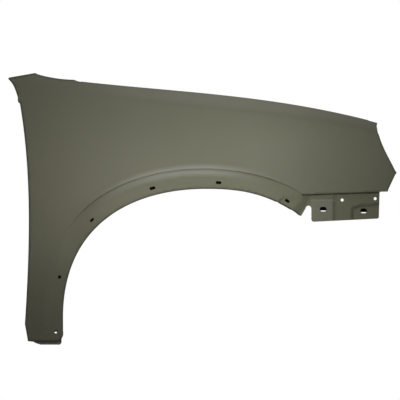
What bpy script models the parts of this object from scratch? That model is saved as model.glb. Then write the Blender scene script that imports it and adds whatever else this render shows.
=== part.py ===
"""Right-hand front fender of a small car: one pressed steel sheet, pierced and flanged.

Metres. +X points forward, +Y inboard and +Z up, so the painted side faces -Y. The sheet is drawn
in side view, in X and Z about the wheel's centre, lifted to its pressed depth, and given its
flanges and its thickness. It is then moved so that its bonnet rail seats at the origin.
A lean is the offset from a curve's end to the handle that shapes it there.
"""

import math

import bmesh
import bpy
import numpy as np
from mathutils import Vector
from mathutils.geometry import delaunay_2d_cdt, interpolate_bezier

# Sheet, bends and pressed steps
SHEET = 0.0008
BEND_RADIUS = 0.0025
STEP_RUN = 0.0016
RELIEF = 0.0050

# Wheel arch
ARCH_HEIGHT = 0.3970
ARCH_REAR = 0.3856
ARCH_SPRING = 0.0486
ARCH_LEG_LEAN = (0.0, 0.2504)
ARCH_CROWN_LEAN_REAR = (-0.2030, 0.0)
ARCH_CROWN_LEAN_FRONT = (0.0790, 0.0)
ARCH_TIP_LEAN = (-0.0920, 0.0660)
ARCH_TIP_X = 0.2560
ARCH_TIP_DROP = 0.0730
ARCH_LIP = 0.0130

# Leg and foot
LEG_WIDTH = 0.0954
FOOT_DROP = 0.0140
FOOT_CHAMFER = 0.0150
FOOT_TAB_DROP = 0.0095
FOOT_TAB_SET = 0.0060
FOOT_TAB_REAR = 0.0150
FOOT_TAB_FRONT = 0.0044
FOOT_HOLE = 0.0076
FOOT_DIMPLE = 0.0126
FOOT_DIMPLE_DEPTH = 0.0022
FOOT_HOLE_BACK = 0.0200
FOOT_HOLE_RISE = 0.0250
FOOT_SEAT = 0.0062

# Door edge and pillar
FLARE_BACK = 0.0080
FLARE_RISE = 0.0460
FLARE_LEAN = (0.0130, 0.1960)
DOOR_HEIGHT = 0.6430
DOOR_RAKE = 0.0210
DOOR_TOP_LEAN = (0.0340, -0.2040)
DOOR_FLANGE = 0.0140
NUB_WIDTH = 0.0055
NUB_LOW = 0.0040
NUB_HIGH = 0.0150
PILLAR_BACK = 0.0320
PILLAR_RISE = 0.0650
PILLAR_TIP_LEAN = (0.0140, -0.0120)
PILLAR_LOW_LEAN = (-0.0070, 0.0230)
PILLAR_FLANGE = 0.0090

# Upper edge from the pillar to the bonnet gap
PEAK_RUN = 0.0730
PEAK_RISE = 0.0160
PEAK_LEAN = (0.0230, -0.0090)
COWL_RUN = 0.1050
COWL_DROP = 0.0170
COWL_LEAN = (-0.0330, 0.0)
COWL_FLANGE = 0.0160
STEP_LENGTH = 0.0170
STEP_DROP = 0.0070
BONNET_LEAN_REAR = (0.2670, -0.0300)
BONNET_LEAN_NOSE = (-0.2880, 0.0750)

# Nose
NOSE_LOW_X = 0.4920
NOSE_LOW_DROP = 0.0070
NOSE_TIP_RUN = 0.0245
NOSE_TIP_RISE = 0.0510
NOSE_TOP_BACK = 0.0525
NOSE_TOP_RISE = 0.1350
NOSE_TIP_LEAN = (-0.0185, 0.0410)
NOSE_TOP_LEAN = (0.0030, -0.0520)
NOSE_FLANGE = 0.0120
NOSE_RELIEF = 0.0300

# Bumper bracket below the nose
SKIN_LOW_FALL = 0.0080
NOTCH_WIDTH = 0.0160
NOTCH_REAR = 0.0125
NOTCH_TOP = 0.0300
BRACKET_SET = 0.0130
BRACKET_INSET = 0.0220
BRACKET_HEIGHT_REAR = 0.0740
BRACKET_HEIGHT_FRONT = 0.0723
BRACKET_CORNER = 0.0060
REAR_BOLT = (0.0320, 0.0345)
FRONT_BOLT = (-0.0435, 0.0210)
BOLT_SLOT = 0.0185
BOLT_SLOT_WIDTH = 0.0128
BOLT_SEAT = 0.0060
MIDDLE_PIN = (0.0835, 0.0185)
FRONT_PIN = (-0.0120, 0.0180)
PIN_HOLE = 0.0082
PAD_RAISE = 0.0045
PAD_EDGE = 0.0610
PAD_TOP = 0.0150
POCKET_DEPTH = 0.0065
POCKET_EDGE = 0.0750
POCKET_TOP = 0.0250
POCKET_TILT = 0.1500
RELIEF_RUN = 0.0090

# Ledge over the arch band, and the band for the arch moulding
BAND_WIDTH = 0.0550
LEDGE_TOP_X = -0.0050
LEDGE_TOP_LEAN_REAR = (-0.1850, 0.0)
LEDGE_TOP_LEAN_FRONT = (0.0520, 0.0)
LEDGE_END_SET = 0.0050
LEDGE_END_LEAN = (-0.0860, 0.0610)
LEDGE_KNEE_SET = 0.0059
LEDGE_KNEE_RISE = 0.1834
LEDGE_KNEE_LEAN_UP = (0.0295, 0.1400)
LEDGE_KNEE_LEAN_DOWN = (-0.0125, -0.0670)
LEG_RIDGE_SET = 0.0484
LEG_RIDGE_FOOT = 0.0400
LEG_RIDGE_BEND = 0.0564
LEG_RIDGE_LEAN = (0.0, 0.0450)
SWELL_RISE = 0.0010
SWELL_WIDTH = 0.0340
LEDGE_DEPTH = 0.0025
LEDGE_STRIP = 0.0300
LEDGE_STARTS = 0.2200
LEDGE_FULL = 0.3800
BAND_PROUD = 0.0060
LEG_FALL = 0.1000
FOLD_TURNS = ((-0.0010, 0.0), (-0.0034, -0.0134), (-0.0107, -0.0237), (-0.0275, -0.0434))
FOLD_RUN = 0.0190
JOGGLE_BACK = 0.0600
JOGGLE_RISE = 0.0400
JOGGLE_RUN = 0.0040
JOGGLE_DEPTH = 0.0025

# Clip slots in the band: degrees round the wheel's centre, distance from the edge, length, width
CLIP_SLOTS = (
    (157.6, 0.0226, 0.0095, 0.0080),
    (134.5, 0.0225, 0.0135, 0.0065),
    (110.1, 0.0200, 0.0160, 0.0080),
    (85.2, 0.0176, 0.0155, 0.0080),
    (58.9, 0.0150, 0.0135, 0.0075),
)

# Pressed depth of the body surface
BELT_RISE = 0.0300
BELT_X = -0.0600
CROWN_BAND = 0.1100
CROWN_SLOPE = 0.2500
TUCK = 0.0480
TUCK_POWER = 2.0
REAR_PLAN_RADIUS = 8.8
NOSE_SWEEP = 0.1500
NOSE_POWER = 2.4
SEAT_BLEND = 0.0080

# Shoulder crease below the bonnet gap
CREASE_REAR = (0.0020, -0.0290)
CREASE_NOSE = (-0.0180, -0.0160)
CREASE_LEAN_REAR = (0.3210, -0.0610)
CREASE_LEAN_NOSE = (-0.3130, 0.0650)
CREASE_FADE = 0.1000
CREASE_REACH = 10
SHOULDER_SLOPE = 0.35
SHOULDER_BEND = 0.0160

# Gutter and bolt rail inside the bonnet gap
GUTTER_DEPTH = 0.0270
GUTTER_LEAN = math.radians(15)
GUTTER_RELIEF = 0.0240
RAIL_WIDTH = 0.0260
RAIL_PAD = 0.0560
RAIL_HOLE = 0.0090
RAIL_BOLT_REAR = 0.0690
RAIL_BOLT_NOSE = 0.0640
BESIDE_BOLT = 0.0180

# Wider tabs on the door flange and the nose flange: half length, width, hole
HINGE_TAB = (0.0180, 0.0300, 0.0090)
HINGE_TAB_DROP = 0.0730
LAMP_TAB = (0.0140, 0.0260, 0.0070)
LAMP_TAB_DROP = 0.0650

# Spacing of points
GRID = 0.0200
FINE_GRID = 0.0070
EDGE_STEP = 0.0200
ARCH_STEP = 0.0140
NOTCH_STEP = 0.0120
BEND_FACETS = 3

# Corners of the side view that the sizes above lead to
FOOT_Z = -FOOT_DROP
LEG_X = -ARCH_REAR
FOOT_REAR = (LEG_X - LEG_WIDTH, FOOT_Z)
FLARE = (FOOT_REAR[0] - FLARE_BACK, FOOT_Z + FLARE_RISE)
DOOR_TOP = (FOOT_REAR[0] - DOOR_RAKE, FOOT_Z + DOOR_HEIGHT)
PILLAR_TIP = (DOOR_TOP[0] - PILLAR_BACK, DOOR_TOP[1] + PILLAR_RISE)
PEAK = (PILLAR_TIP[0] + PEAK_RUN, PILLAR_TIP[1] + PEAK_RISE)
COWL = (PEAK[0] + COWL_RUN, PEAK[1] - COWL_DROP)
BONNET_REAR = (COWL[0] + STEP_LENGTH, COWL[1] - STEP_DROP)
NOSE_LOW = (NOSE_LOW_X, ARCH_HEIGHT - NOSE_LOW_DROP)
NOSE_TIP = (NOSE_LOW[0] + NOSE_TIP_RUN, NOSE_LOW[1] + NOSE_TIP_RISE)
NOSE_TOP = (NOSE_TIP[0] - NOSE_TOP_BACK, NOSE_TIP[1] + NOSE_TOP_RISE)
ARCH_TIP = (ARCH_TIP_X, ARCH_HEIGHT - ARCH_TIP_DROP)
LEDGE_END = (ARCH_TIP[0] + LEDGE_END_SET, NOSE_LOW[1] - SKIN_LOW_FALL)
NOTCH_X = ARCH_TIP[0] + NOTCH_REAR
BRACKET_REAR = NOTCH_X + NOTCH_WIDTH
BRACKET_FRONT = NOSE_LOW[0] - BRACKET_INSET
BELT_Z = ARCH_HEIGHT + BELT_RISE
HINGE_TAB_Z = DOOR_TOP[1] - HINGE_TAB_DROP
LAMP_TAB_Z = NOSE_TOP[1] - LAMP_TAB_DROP
RAIL_BOLTS = (
    BONNET_REAR[0] + RAIL_BOLT_REAR,
    (BONNET_REAR[0] + RAIL_BOLT_REAR + NOSE_TOP[0] - RAIL_BOLT_NOSE) / 2,
    NOSE_TOP[0] - RAIL_BOLT_NOSE,
)

# Inward flange behind each flanged edge
FLANGES = {
    "arch": ARCH_LIP,
    "door": DOOR_FLANGE,
    "pillar": PILLAR_FLANGE,
    "pillar_top": COWL_FLANGE,
    "cowl": COWL_FLANGE,
    "nose_front": NOSE_FLANGE,
    "nose_under": NOSE_FLANGE,
}


def moved(point, offset):
    return (point[0] + offset[0], point[1] + offset[1])


def resampled(points, step):
    """The same run of points, evenly spaced about one step apart, with its two ends kept."""
    points = np.asarray(points, float)
    run = np.concatenate([[0.0], np.cumsum(np.hypot(*np.diff(points, axis=0).T))])
    count = max(2, round(run[-1] / step) + 1)
    places = np.linspace(0.0, run[-1], count)
    return np.column_stack([np.interp(places, run, points[:, k]) for k in (0, 1)])


def curve(start, lean_start, lean_end, end, step):
    """Evenly spaced points along a cubic curve in side view."""
    corners = (start, moved(start, lean_start), moved(end, lean_end), end)
    dense = interpolate_bezier(*[Vector((x, z, 0.0)) for x, z in corners], 200)
    return resampled([(p.x, p.y) for p in dense], step)


def straight(start, end, step):
    return resampled([start, end], step)


def joined(*runs):
    """Runs that follow each other, without the doubled points where they meet."""
    return np.vstack([runs[0]] + [run[1:] for run in runs[1:]])


def through(points, step):
    """Straight sides through every given point, with more points along the longer sides."""
    return joined(*[straight(a, b, step) for a, b in zip(points[:-1], points[1:])])


def oval(centre, length, width, along=(1.0, 0.0), points=16):
    """A closed round-ended slot, its long side along the given direction."""
    half = (length - width) / 2
    across = (-along[1], along[0])
    loop = []
    for k in range(points):
        angle = 2 * math.pi * (k + 0.5) / points
        a = width / 2 * math.cos(angle) + math.copysign(half, math.cos(angle))
        b = width / 2 * math.sin(angle)
        loop.append([centre[i] + a * along[i] + b * across[i] for i in (0, 1)])
    return np.array(loop)


def foot_edge():
    """The foot's lower edge, with the tab that hangs below it."""
    rear = FOOT_REAR[0] + FOOT_TAB_REAR
    front = LEG_X - FOOT_TAB_FRONT
    low = FOOT_Z - FOOT_TAB_DROP
    half = FOOT_TAB_DROP / 2
    corners = [
        FOOT_REAR,
        (rear, FOOT_Z - STEP_RUN),
        (rear + half, FOOT_Z - half),
        (rear + 2 * FOOT_TAB_DROP, low),
        (front - half, low),
        (front, low + half),
        (front, FOOT_Z + FOOT_CHAMFER / 2 - STEP_RUN),
        (LEG_X, FOOT_Z + FOOT_CHAMFER),
    ]
    return through(corners, 2 * EDGE_STEP)


def sill_line():
    """The skin's own lower edge at the foot, in front of the tab."""
    return np.array(
        [
            FOOT_REAR,
            (FOOT_REAR[0] + FOOT_TAB_REAR, FOOT_Z),
            (LEG_X - FOOT_CHAMFER, FOOT_Z),
            (LEG_X - 0.3 * FOOT_CHAMFER, FOOT_Z + 0.3 * FOOT_CHAMFER),
            (LEG_X, FOOT_Z + FOOT_CHAMFER),
        ]
    )


def arch_edge():
    """The wheel opening from the foot to its front tip."""
    spring = (LEG_X, ARCH_SPRING)
    crown = (0.0, ARCH_HEIGHT)
    leg = straight((LEG_X, FOOT_Z + FOOT_CHAMFER), spring, ARCH_STEP)
    rear = curve(spring, ARCH_LEG_LEAN, ARCH_CROWN_LEAN_REAR, crown, ARCH_STEP)
    front = curve(crown, ARCH_CROWN_LEAN_FRONT, ARCH_TIP_LEAN, ARCH_TIP, ARCH_STEP)
    return joined(leg, rear, front)


def bracket_low_z(x):
    """Height of the bracket's lower edge."""
    rear = LEDGE_END[1] - BRACKET_HEIGHT_REAR
    front = skin_low_z(BRACKET_FRONT) - BRACKET_HEIGHT_FRONT
    return rear + (x - BRACKET_REAR) / (BRACKET_FRONT - BRACKET_REAR) * (front - rear)


def bracket_edge():
    """From the arch's front tip round the notch and the bracket to the skin's lower edge."""
    half = NOTCH_WIDTH / 2
    crown = []
    for k in range(7):
        angle = math.pi * (1 - k / 6)
        x = NOTCH_X + half + half * math.cos(angle)
        crown.append((x, LEDGE_END[1] - NOTCH_TOP + half * (math.sin(angle) - 1)))
    corner = BRACKET_CORNER
    rear_low = (BRACKET_REAR + corner, bracket_low_z(BRACKET_REAR + corner))
    front_low = (BRACKET_FRONT - corner, bracket_low_z(BRACKET_FRONT - corner))
    top = skin_low_z(BRACKET_FRONT)
    corners = [
        ARCH_TIP,
        moved(ARCH_TIP, (RELIEF / 2, 0.0)),
        *crown,
        moved(rear_low, (-corner, corner)),
        moved(rear_low, (-0.7 * corner, 0.3 * corner)),
        rear_low,
        front_low,
        moved(front_low, (0.6 * corner, 0.3 * corner)),
        moved(front_low, (0.7 * corner, corner)),
        (BRACKET_FRONT, top - STEP_RUN),
        (BRACKET_FRONT, top),
    ]
    return through(corners, NOTCH_STEP)


def skin_low_z(x):
    """Height of the skin's lower edge over the bumper bracket."""
    share = (x - LEDGE_END[0]) / (NOSE_LOW[0] - LEDGE_END[0])
    return LEDGE_END[1] + share * (NOSE_LOW[1] - LEDGE_END[1])


def bonnet_edge(step=EDGE_STEP):
    """The upper edge along the bonnet gap, from the nose to the rear."""
    return curve(NOSE_TOP, BONNET_LEAN_NOSE, BONNET_LEAN_REAR, BONNET_REAR, step)


def ledge_line():
    """The step over the arch band and on along the skin's lower edge, from foot to bracket."""
    ridge_x = LEG_X - LEG_RIDGE_SET
    foot = (ridge_x, FOOT_Z + LEG_RIDGE_FOOT)
    bend = (ridge_x, ARCH_SPRING + LEG_RIDGE_BEND)
    knee = (LEG_X - LEDGE_KNEE_SET, ARCH_SPRING + LEDGE_KNEE_RISE)
    top = (LEDGE_TOP_X, ARCH_HEIGHT + BAND_WIDTH)
    return joined(
        straight(foot, bend, ARCH_STEP),
        curve(bend, LEG_RIDGE_LEAN, LEDGE_KNEE_LEAN_DOWN, knee, ARCH_STEP),
        curve(knee, LEDGE_KNEE_LEAN_UP, LEDGE_TOP_LEAN_REAR, top, ARCH_STEP),
        curve(top, LEDGE_TOP_LEAN_FRONT, LEDGE_END_LEAN, LEDGE_END, ARCH_STEP),
        straight(LEDGE_END, (BRACKET_FRONT, skin_low_z(BRACKET_FRONT)), EDGE_STEP),
    )


def crease_line():
    """The shoulder crease below the bonnet gap, from rear to nose."""
    rear = moved(PEAK, CREASE_REAR)
    nose = moved(NOSE_TOP, CREASE_NOSE)
    return curve(rear, CREASE_LEAN_REAR, CREASE_LEAN_NOSE, nose, EDGE_STEP)


def crease_field():
    """The crease run on past both its ends, so that it parts the whole sheet."""
    crease = crease_line()
    before = crease[0] - CREASE_REACH * (crease[1] - crease[0])
    after = crease[-1] + CREASE_REACH * (crease[-1] - crease[-2])
    return np.vstack([before, crease, after])


def fold_line():
    """Where the arch band turns inboard to the bumper bracket, from the ledge down."""
    return np.array([moved(LEDGE_END, turn) for turn in FOLD_TURNS])


def with_reliefs(run):
    """A run with a point close to each end, where its flange stops short of the corner."""
    first = run[0] + (run[1] - run[0]) * RELIEF / np.hypot(*(run[1] - run[0]))
    last = run[-1] + (run[-2] - run[-1]) * RELIEF / np.hypot(*(run[-2] - run[-1]))
    return np.vstack([run[:1], [first], run[1:-1], [last], run[-1:]])


def with_marks(run, marks, axis):
    """A run with a point where it passes each mark along one axis, and none crowding them."""
    order = np.argsort(run[:, axis])
    other = 1 - axis
    crowded = np.abs(run[:, axis][:, None] - np.array(marks)).min(axis=1) < 0.3 * EDGE_STEP
    crowded[[0, -1]] = False
    points = [tuple(p) for p in run[~crowded]]
    for mark in marks:
        across = np.interp(mark, run[order, axis], run[order, other])
        points.append((mark, across) if axis == 0 else (across, mark))
    points.sort(key=lambda p: p[axis], reverse=bool(run[0, axis] > run[-1, axis]))
    return np.array(points)


def pad_ends():
    return [bolt + side * RAIL_PAD / 2 for bolt in RAIL_BOLTS for side in (-1, 1)]


def tab_ends(middle, tab):
    """Where a tab starts and ends, with a point close outside each end for its short sides."""
    half = tab[0]
    return [middle + side * reach for side in (-1, 1) for reach in (half, half + RELIEF)]


def stretches():
    """The sheet's outline in side view by named stretches, anticlockwise from the foot."""
    nub_high = moved(DOOR_TOP, (-NUB_WIDTH, NUB_HIGH))
    nub_low = moved(DOOR_TOP, (-NUB_WIDTH, NUB_LOW))
    door = joined(
        np.array([nub_low, DOOR_TOP]),
        curve(DOOR_TOP, DOOR_TOP_LEAN, FLARE_LEAN, FLARE, EDGE_STEP),
        straight(FLARE, FOOT_REAR, EDGE_STEP),
    )
    nose_front = curve(NOSE_TIP, NOSE_TIP_LEAN, NOSE_TOP_LEAN, NOSE_TOP, EDGE_STEP)
    runs = {
        "foot": foot_edge(),
        "arch": arch_edge(),
        "bracket": bracket_edge(),
        "nose_low": straight((BRACKET_FRONT, skin_low_z(BRACKET_FRONT)), NOSE_LOW, EDGE_STEP),
        "nose_under": straight(NOSE_LOW, NOSE_TIP, EDGE_STEP),
        "nose_front": with_marks(nose_front, tab_ends(LAMP_TAB_Z, LAMP_TAB), 1),
        "bonnet": with_marks(bonnet_edge(), pad_ends(), 0),
        "cowl": joined(
            straight(BONNET_REAR, COWL, EDGE_STEP),
            curve(COWL, COWL_LEAN, PEAK_LEAN, PEAK, EDGE_STEP),
        ),
        "pillar_top": straight(PEAK, PILLAR_TIP, EDGE_STEP),
        "pillar": curve(PILLAR_TIP, PILLAR_TIP_LEAN, PILLAR_LOW_LEAN, nub_high, NOTCH_STEP),
        "nub": np.array([nub_high, nub_low]),
        "door": with_marks(door, tab_ends(HINGE_TAB_Z, HINGE_TAB), 1),
    }
    for name in (*FLANGES, "bonnet"):
        runs[name] = with_reliefs(runs[name])
    return runs


def nearest(points, line):
    """For each point, the run along a line to its nearest place, and its distance to the left."""
    start, span = line[:-1], np.diff(line, axis=0)
    length = np.hypot(*span.T)
    before = np.concatenate([[0.0], np.cumsum(length)[:-1]])
    offset = points[:, None, :] - start[None]
    share = np.clip((offset * span).sum(axis=2) / length**2, 0.0, 1.0)
    gap = offset - share[..., None] * span
    distance = np.hypot(gap[..., 0], gap[..., 1])
    k = distance.argmin(axis=1)
    rows = np.arange(len(points))
    side = span[k, 0] * offset[rows, k, 1] - span[k, 1] * offset[rows, k, 0]
    return before[k] + share[rows, k] * length[k], np.copysign(distance[rows, k], side)


def eased(value, low, high):
    """0 below low, 1 above high, and a smooth rise between."""
    t = np.clip((value - low) / (high - low), 0.0, 1.0)
    return t * t * (3 - 2 * t)


def body_depth(x, z):
    """How far inboard the plain body surface lies, from its sweep in plan and its crown."""
    to_rear = np.clip(BELT_X - x, 0.0, None)
    to_nose = np.clip(x - BELT_X, 0.0, None)
    below = np.clip(BELT_Z - z, 0.0, None)
    sweep = NOSE_SWEEP * (to_nose / (NOSE_TIP[0] - BELT_X)) ** NOSE_POWER
    tuck = TUCK * (below / (BELT_Z - FOOT_Z)) ** TUCK_POWER
    return to_rear**2 / (2 * REAR_PLAN_RADIUS) + sweep + tuck


def shoulder_depth(points):
    """The crown below the crease, and the band above the crease, which leans further inboard."""
    _, rise = nearest(points, crease_field())
    rounded = np.clip(rise + CROWN_BAND, 0.0, CROWN_BAND)
    crown = CROWN_SLOPE * (rounded**2 / (2 * CROWN_BAND) + np.clip(rise, 0.0, None))
    half = SHOULDER_BEND / 2
    bent = np.clip(rise + half, 0.0, SHOULDER_BEND) ** 2 / (2 * SHOULDER_BEND)
    bent = bent + np.clip(rise - half, 0.0, None)
    fade = eased(points[:, 0], PILLAR_TIP[0], PEAK[0] + CREASE_FADE)
    return crown + SHOULDER_SLOPE * fade * bent


def recess_depth(points):
    """The swell and step at the ledge, the band for the moulding, and the set-in bracket."""
    x, z = points.T
    run, left = nearest(points, ledge_line())
    below = np.where(x > BRACKET_FRONT + PROBE / 4, 0.0, np.clip(-left, 0.0, None))
    into = np.clip(below / STEP_RUN, 0.0, 1.0)
    rising = eased(run, LEDGE_STARTS, LEDGE_FULL)
    stepped = rising * (1 - eased(x, 0.5 * ARCH_TIP[0], ARCH_TIP[0]) / 2)
    back = np.clip((below - STEP_RUN) / LEDGE_STRIP, 0.0, 1.0)
    band = into * stepped * (LEDGE_DEPTH - (LEDGE_DEPTH + BAND_PROUD) * back)
    sloped = LEG_FALL * below * (1 - rising)
    band = band + sloped * eased(z, FOOT_Z, FOOT_Z + 1.5 * LEG_RIDGE_FOOT) + joggle_depth(x, z)
    _, ahead = nearest(points, fold_line())
    turned = np.where(x > BRACKET_REAR, 1.0, np.clip(ahead / FOLD_RUN, 0.0, 1.0))
    bracket = into * (BRACKET_SET + bracket_relief(x, z))
    recess = np.where(below > 0, band + (bracket - band) * turned, 0.0)
    near = 1 - np.clip(left / SWELL_WIDTH, 0.0, 1.0)
    fading = rising * (1 - eased(x, 0.3 * ARCH_TIP[0], ARCH_TIP[0]))
    return recess - SWELL_RISE * fading * near**2 * (1 - into)


def joggle_depth(x, z):
    """A shallow slanting step in the band, behind its last clip slot."""
    past = (x - (ARCH_TIP[0] - JOGGLE_BACK)) - (z - (ARCH_TIP[1] + JOGGLE_RISE))
    low = 1 - eased(z - ARCH_TIP[1], JOGGLE_RISE, 1.5 * JOGGLE_RISE)
    return JOGGLE_DEPTH * eased(past, 0.0, JOGGLE_RUN) * low


def bracket_relief(x, z):
    """The raised pad round the rear bolt slot and the sunk pocket round the front one."""
    pad_end = BRACKET_REAR + PAD_EDGE
    pad_top = LEDGE_END[1] - PAD_TOP
    raised = eased(pad_end - x, -RELIEF_RUN / 2, RELIEF_RUN / 2)
    raised = raised * eased(pad_top - z, -RELIEF_RUN / 2, RELIEF_RUN / 2)
    pocket_end = BRACKET_FRONT - POCKET_EDGE
    pocket_top = LEDGE_END[1] - POCKET_TOP + POCKET_TILT * (x - BRACKET_FRONT)
    sunk = eased(x - pocket_end, -RELIEF_RUN / 2, RELIEF_RUN / 2)
    sunk = sunk * eased(pocket_top - z, -RELIEF_RUN / 2, RELIEF_RUN / 2)
    return POCKET_DEPTH * sunk - PAD_RAISE * raised


def tab_depth(points):
    """The foot's lower tab, set in behind the skin."""
    _, left = nearest(points, sill_line())
    low = points[:, 1] < FOOT_Z + FOOT_CHAMFER
    return np.where(low, FOOT_TAB_SET * np.clip(-left / STEP_RUN, 0.0, 1.0), 0.0)


def free_depth(points):
    """Inboard depth of the painted surface before its bolt seats are flattened."""
    form = body_depth(*points.T) + shoulder_depth(points)
    return form + recess_depth(points) + tab_depth(points)


# Short steps along X and Z that measure a slope
PROBE = 0.0005
PROBES = np.array([(PROBE, 0.0), (0.0, PROBE)])


def depth(points):
    """Inboard depth of the painted surface at points of the side view, flat at each bolt seat."""
    points = np.atleast_2d(np.asarray(points, float))
    form = free_depth(points)
    for centre, radius in bolt_seats():
        here = np.array([centre])
        across = [free_depth(here + step)[0] - free_depth(here - step)[0] for step in PROBES]
        plane = free_depth(here)[0] + (points - centre) @ (np.array(across) / (2 * PROBE))
        away = np.hypot(*(points - centre).T)
        form = form + (plane - form) * (1 - eased(away, radius, radius + SEAT_BLEND))
    from_hole = np.hypot(*(points - foot_hole()).T)
    return form + FOOT_DIMPLE_DEPTH * (1 - eased(from_hole, FOOT_HOLE / 2, FOOT_DIMPLE / 2))


def slopes(points):
    """How fast the depth changes along X and along Z."""
    return [(depth(points + step) - depth(points - step)) / (2 * PROBE) for step in PROBES]


def foot_hole():
    return np.array([LEG_X - FOOT_HOLE_BACK, FOOT_Z + FOOT_HOLE_RISE])


def rear_bolt():
    return np.array(moved((BRACKET_REAR, LEDGE_END[1] - BRACKET_HEIGHT_REAR), REAR_BOLT))


def front_bolt():
    low = skin_low_z(BRACKET_FRONT) - BRACKET_HEIGHT_FRONT
    return np.array(moved((BRACKET_FRONT, low), FRONT_BOLT))


def bolt_seats():
    """Centre and flat radius of the seat round each bolt hole that fixes the outer face."""
    return [
        (foot_hole(), FOOT_DIMPLE / 2 + FOOT_SEAT),
        (rear_bolt(), BOLT_SLOT / 2 + BOLT_SEAT),
        (front_bolt(), BOLT_SLOT / 2 + BOLT_SEAT),
    ]


def clip_slot(edge, angle, set_back, length, width):
    """A slot beside the arch edge, at an angle round the wheel's centre."""
    turns = np.unwrap(np.arctan2(edge[:, 1], edge[:, 0]))
    k = int(np.abs(turns - angle).argmin())
    along = edge[k + 1] - edge[k - 1]
    along = along / np.hypot(*along)
    share = (angle - turns[k]) / (turns[k + 1] - turns[k])
    at_edge = edge[k] + share * (edge[k + 1] - edge[k])
    return oval(at_edge + set_back * np.array([-along[1], along[0]]), length, width, along)


def pierced_loops():
    """Everything pierced through the outer face: clip slots, bolt slots and round holes."""
    edge = arch_edge()
    loops = []
    for angle, set_back, length, width in CLIP_SLOTS:
        loops.append(clip_slot(edge, math.radians(angle), set_back, length, width))
    loops.append(oval(rear_bolt(), BOLT_SLOT, BOLT_SLOT_WIDTH))
    loops.append(oval(front_bolt(), BOLT_SLOT, BOLT_SLOT_WIDTH))
    middle_x = BRACKET_REAR + MIDDLE_PIN[0]
    front_x = BRACKET_FRONT + FRONT_PIN[0]
    for x, below in ((middle_x, MIDDLE_PIN[1]), (front_x, FRONT_PIN[1])):
        loops.append(oval((x, skin_low_z(x) - below), PIN_HOLE, PIN_HOLE, points=12))
    loops.append(oval(foot_hole(), FOOT_HOLE, FOOT_HOLE, points=12))
    return loops


def inset_outline(runs):
    """Draws flanged stretches in by the bend radius, so that each bend reaches the outline.

    Returns the loop, its outward directions, how far each point was drawn in, and the first and
    last place of each stretch.
    """
    loop, pull, spots = [], [], {}
    for name, run in runs.items():
        reach = BEND_RADIUS if name in FLANGES else 0.0
        sides = [reach] * (len(run) - 1)
        sides[0] = sides[-1] = reach / 2
        spots[name] = (len(loop), len(loop) + len(run) - 1)
        loop.extend(run[:-1])
        pull.extend(sides)
    loop = np.array(loop)
    ahead = np.roll(loop, -1, axis=0) - loop
    ahead = ahead / np.hypot(*ahead.T)[:, None]
    outward = np.column_stack([ahead[:, 1], -ahead[:, 0]])
    outward = outward + np.roll(outward, 1, axis=0)
    outward = outward / np.hypot(*outward.T)[:, None]
    reach = (np.array(pull) + np.roll(pull, 1)) / 2
    return loop - outward * reach[:, None], outward, reach, spots


def offset_line(line, distance):
    """A line moved sideways, to its right."""
    ahead = np.gradient(line, axis=0)
    ahead = ahead / np.hypot(*ahead.T)[:, None]
    return line + distance * np.column_stack([ahead[:, 1], -ahead[:, 0]])


def form_lines():
    """The lines inside the outline that the surface folds along."""
    ledge = ledge_line()
    under = offset_line(ledge, STEP_RUN)
    under[-1] = ledge[-1] - [0.0, STEP_RUN]
    strip = offset_line(ledge, STEP_RUN + LEDGE_STRIP)
    strip = strip[(strip[:, 0] < ARCH_TIP[0] - LEDGE_STRIP) & (strip[:, 1] > ARCH_SPRING)]
    crease = crease_line()
    sill = sill_line()
    under_sill = sill[1:-1] - [0.0, STEP_RUN]
    under_sill[-1] = (LEG_X - FOOT_TAB_FRONT, FOOT_Z + FOOT_CHAMFER / 2 - STEP_RUN)
    seats = [oval(centre, 2 * radius, 2 * radius) for centre, radius in bolt_seats()]
    seats.append(oval(foot_hole(), FOOT_DIMPLE, FOOT_DIMPLE))
    return [
        *[np.vstack([ring, ring[:1]]) for ring in seats],
        ledge,
        under,
        strip,
        fold_line()[1:-1],
        offset_line(crease, -SHOULDER_BEND / 2)[1:-1],
        offset_line(crease, SHOULDER_BEND / 2)[1:-1],
        sill,
        under_sill,
    ]


def inside(points, loop):
    """Which points lie inside a closed loop."""
    a, b = loop, np.roll(loop, -1, axis=0)
    x, z = points[:, :1], points[:, 1:]
    spans = (a[:, 1] > z) != (b[:, 1] > z)
    rise = np.where(b[:, 1] == a[:, 1], 1.0, b[:, 1] - a[:, 1])
    cross = a[:, 0] + (z - a[:, 1]) * (b[:, 0] - a[:, 0]) / rise
    return (spans & (x < cross)).sum(axis=1) % 2 == 1


def grid_points(loop, pierced, lines, step, wanted):
    """A staggered field of points inside the outline, clear of every line and hole."""
    low, high = loop.min(axis=0), loop.max(axis=0)
    levels = np.arange(low[1], high[1], step * math.sqrt(3) / 2)
    places = np.arange(low[0], high[0], step)
    field = [(x + (n % 2) * step / 2, z) for n, z in enumerate(levels) for x in places]
    field = np.array(field)
    field = field[inside(field, loop) & wanted(field)]
    rings = [np.vstack([ring, ring[:1]]) for ring in [loop] + pierced]
    for line in rings + lines:
        field = field[np.abs(nearest(field, line)[1]) > 0.55 * step]
    for ring in pierced:
        field = field[~inside(field, ring)]
    return field


def is_fine(points):
    """The bumper bracket and the front of the arch band, where the relief is small."""
    _, left = nearest(points, ledge_line())
    return (left < 0) & (points[:, 0] > ARCH_TIP[0] - JOGGLE_BACK - JOGGLE_RISE)


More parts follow.
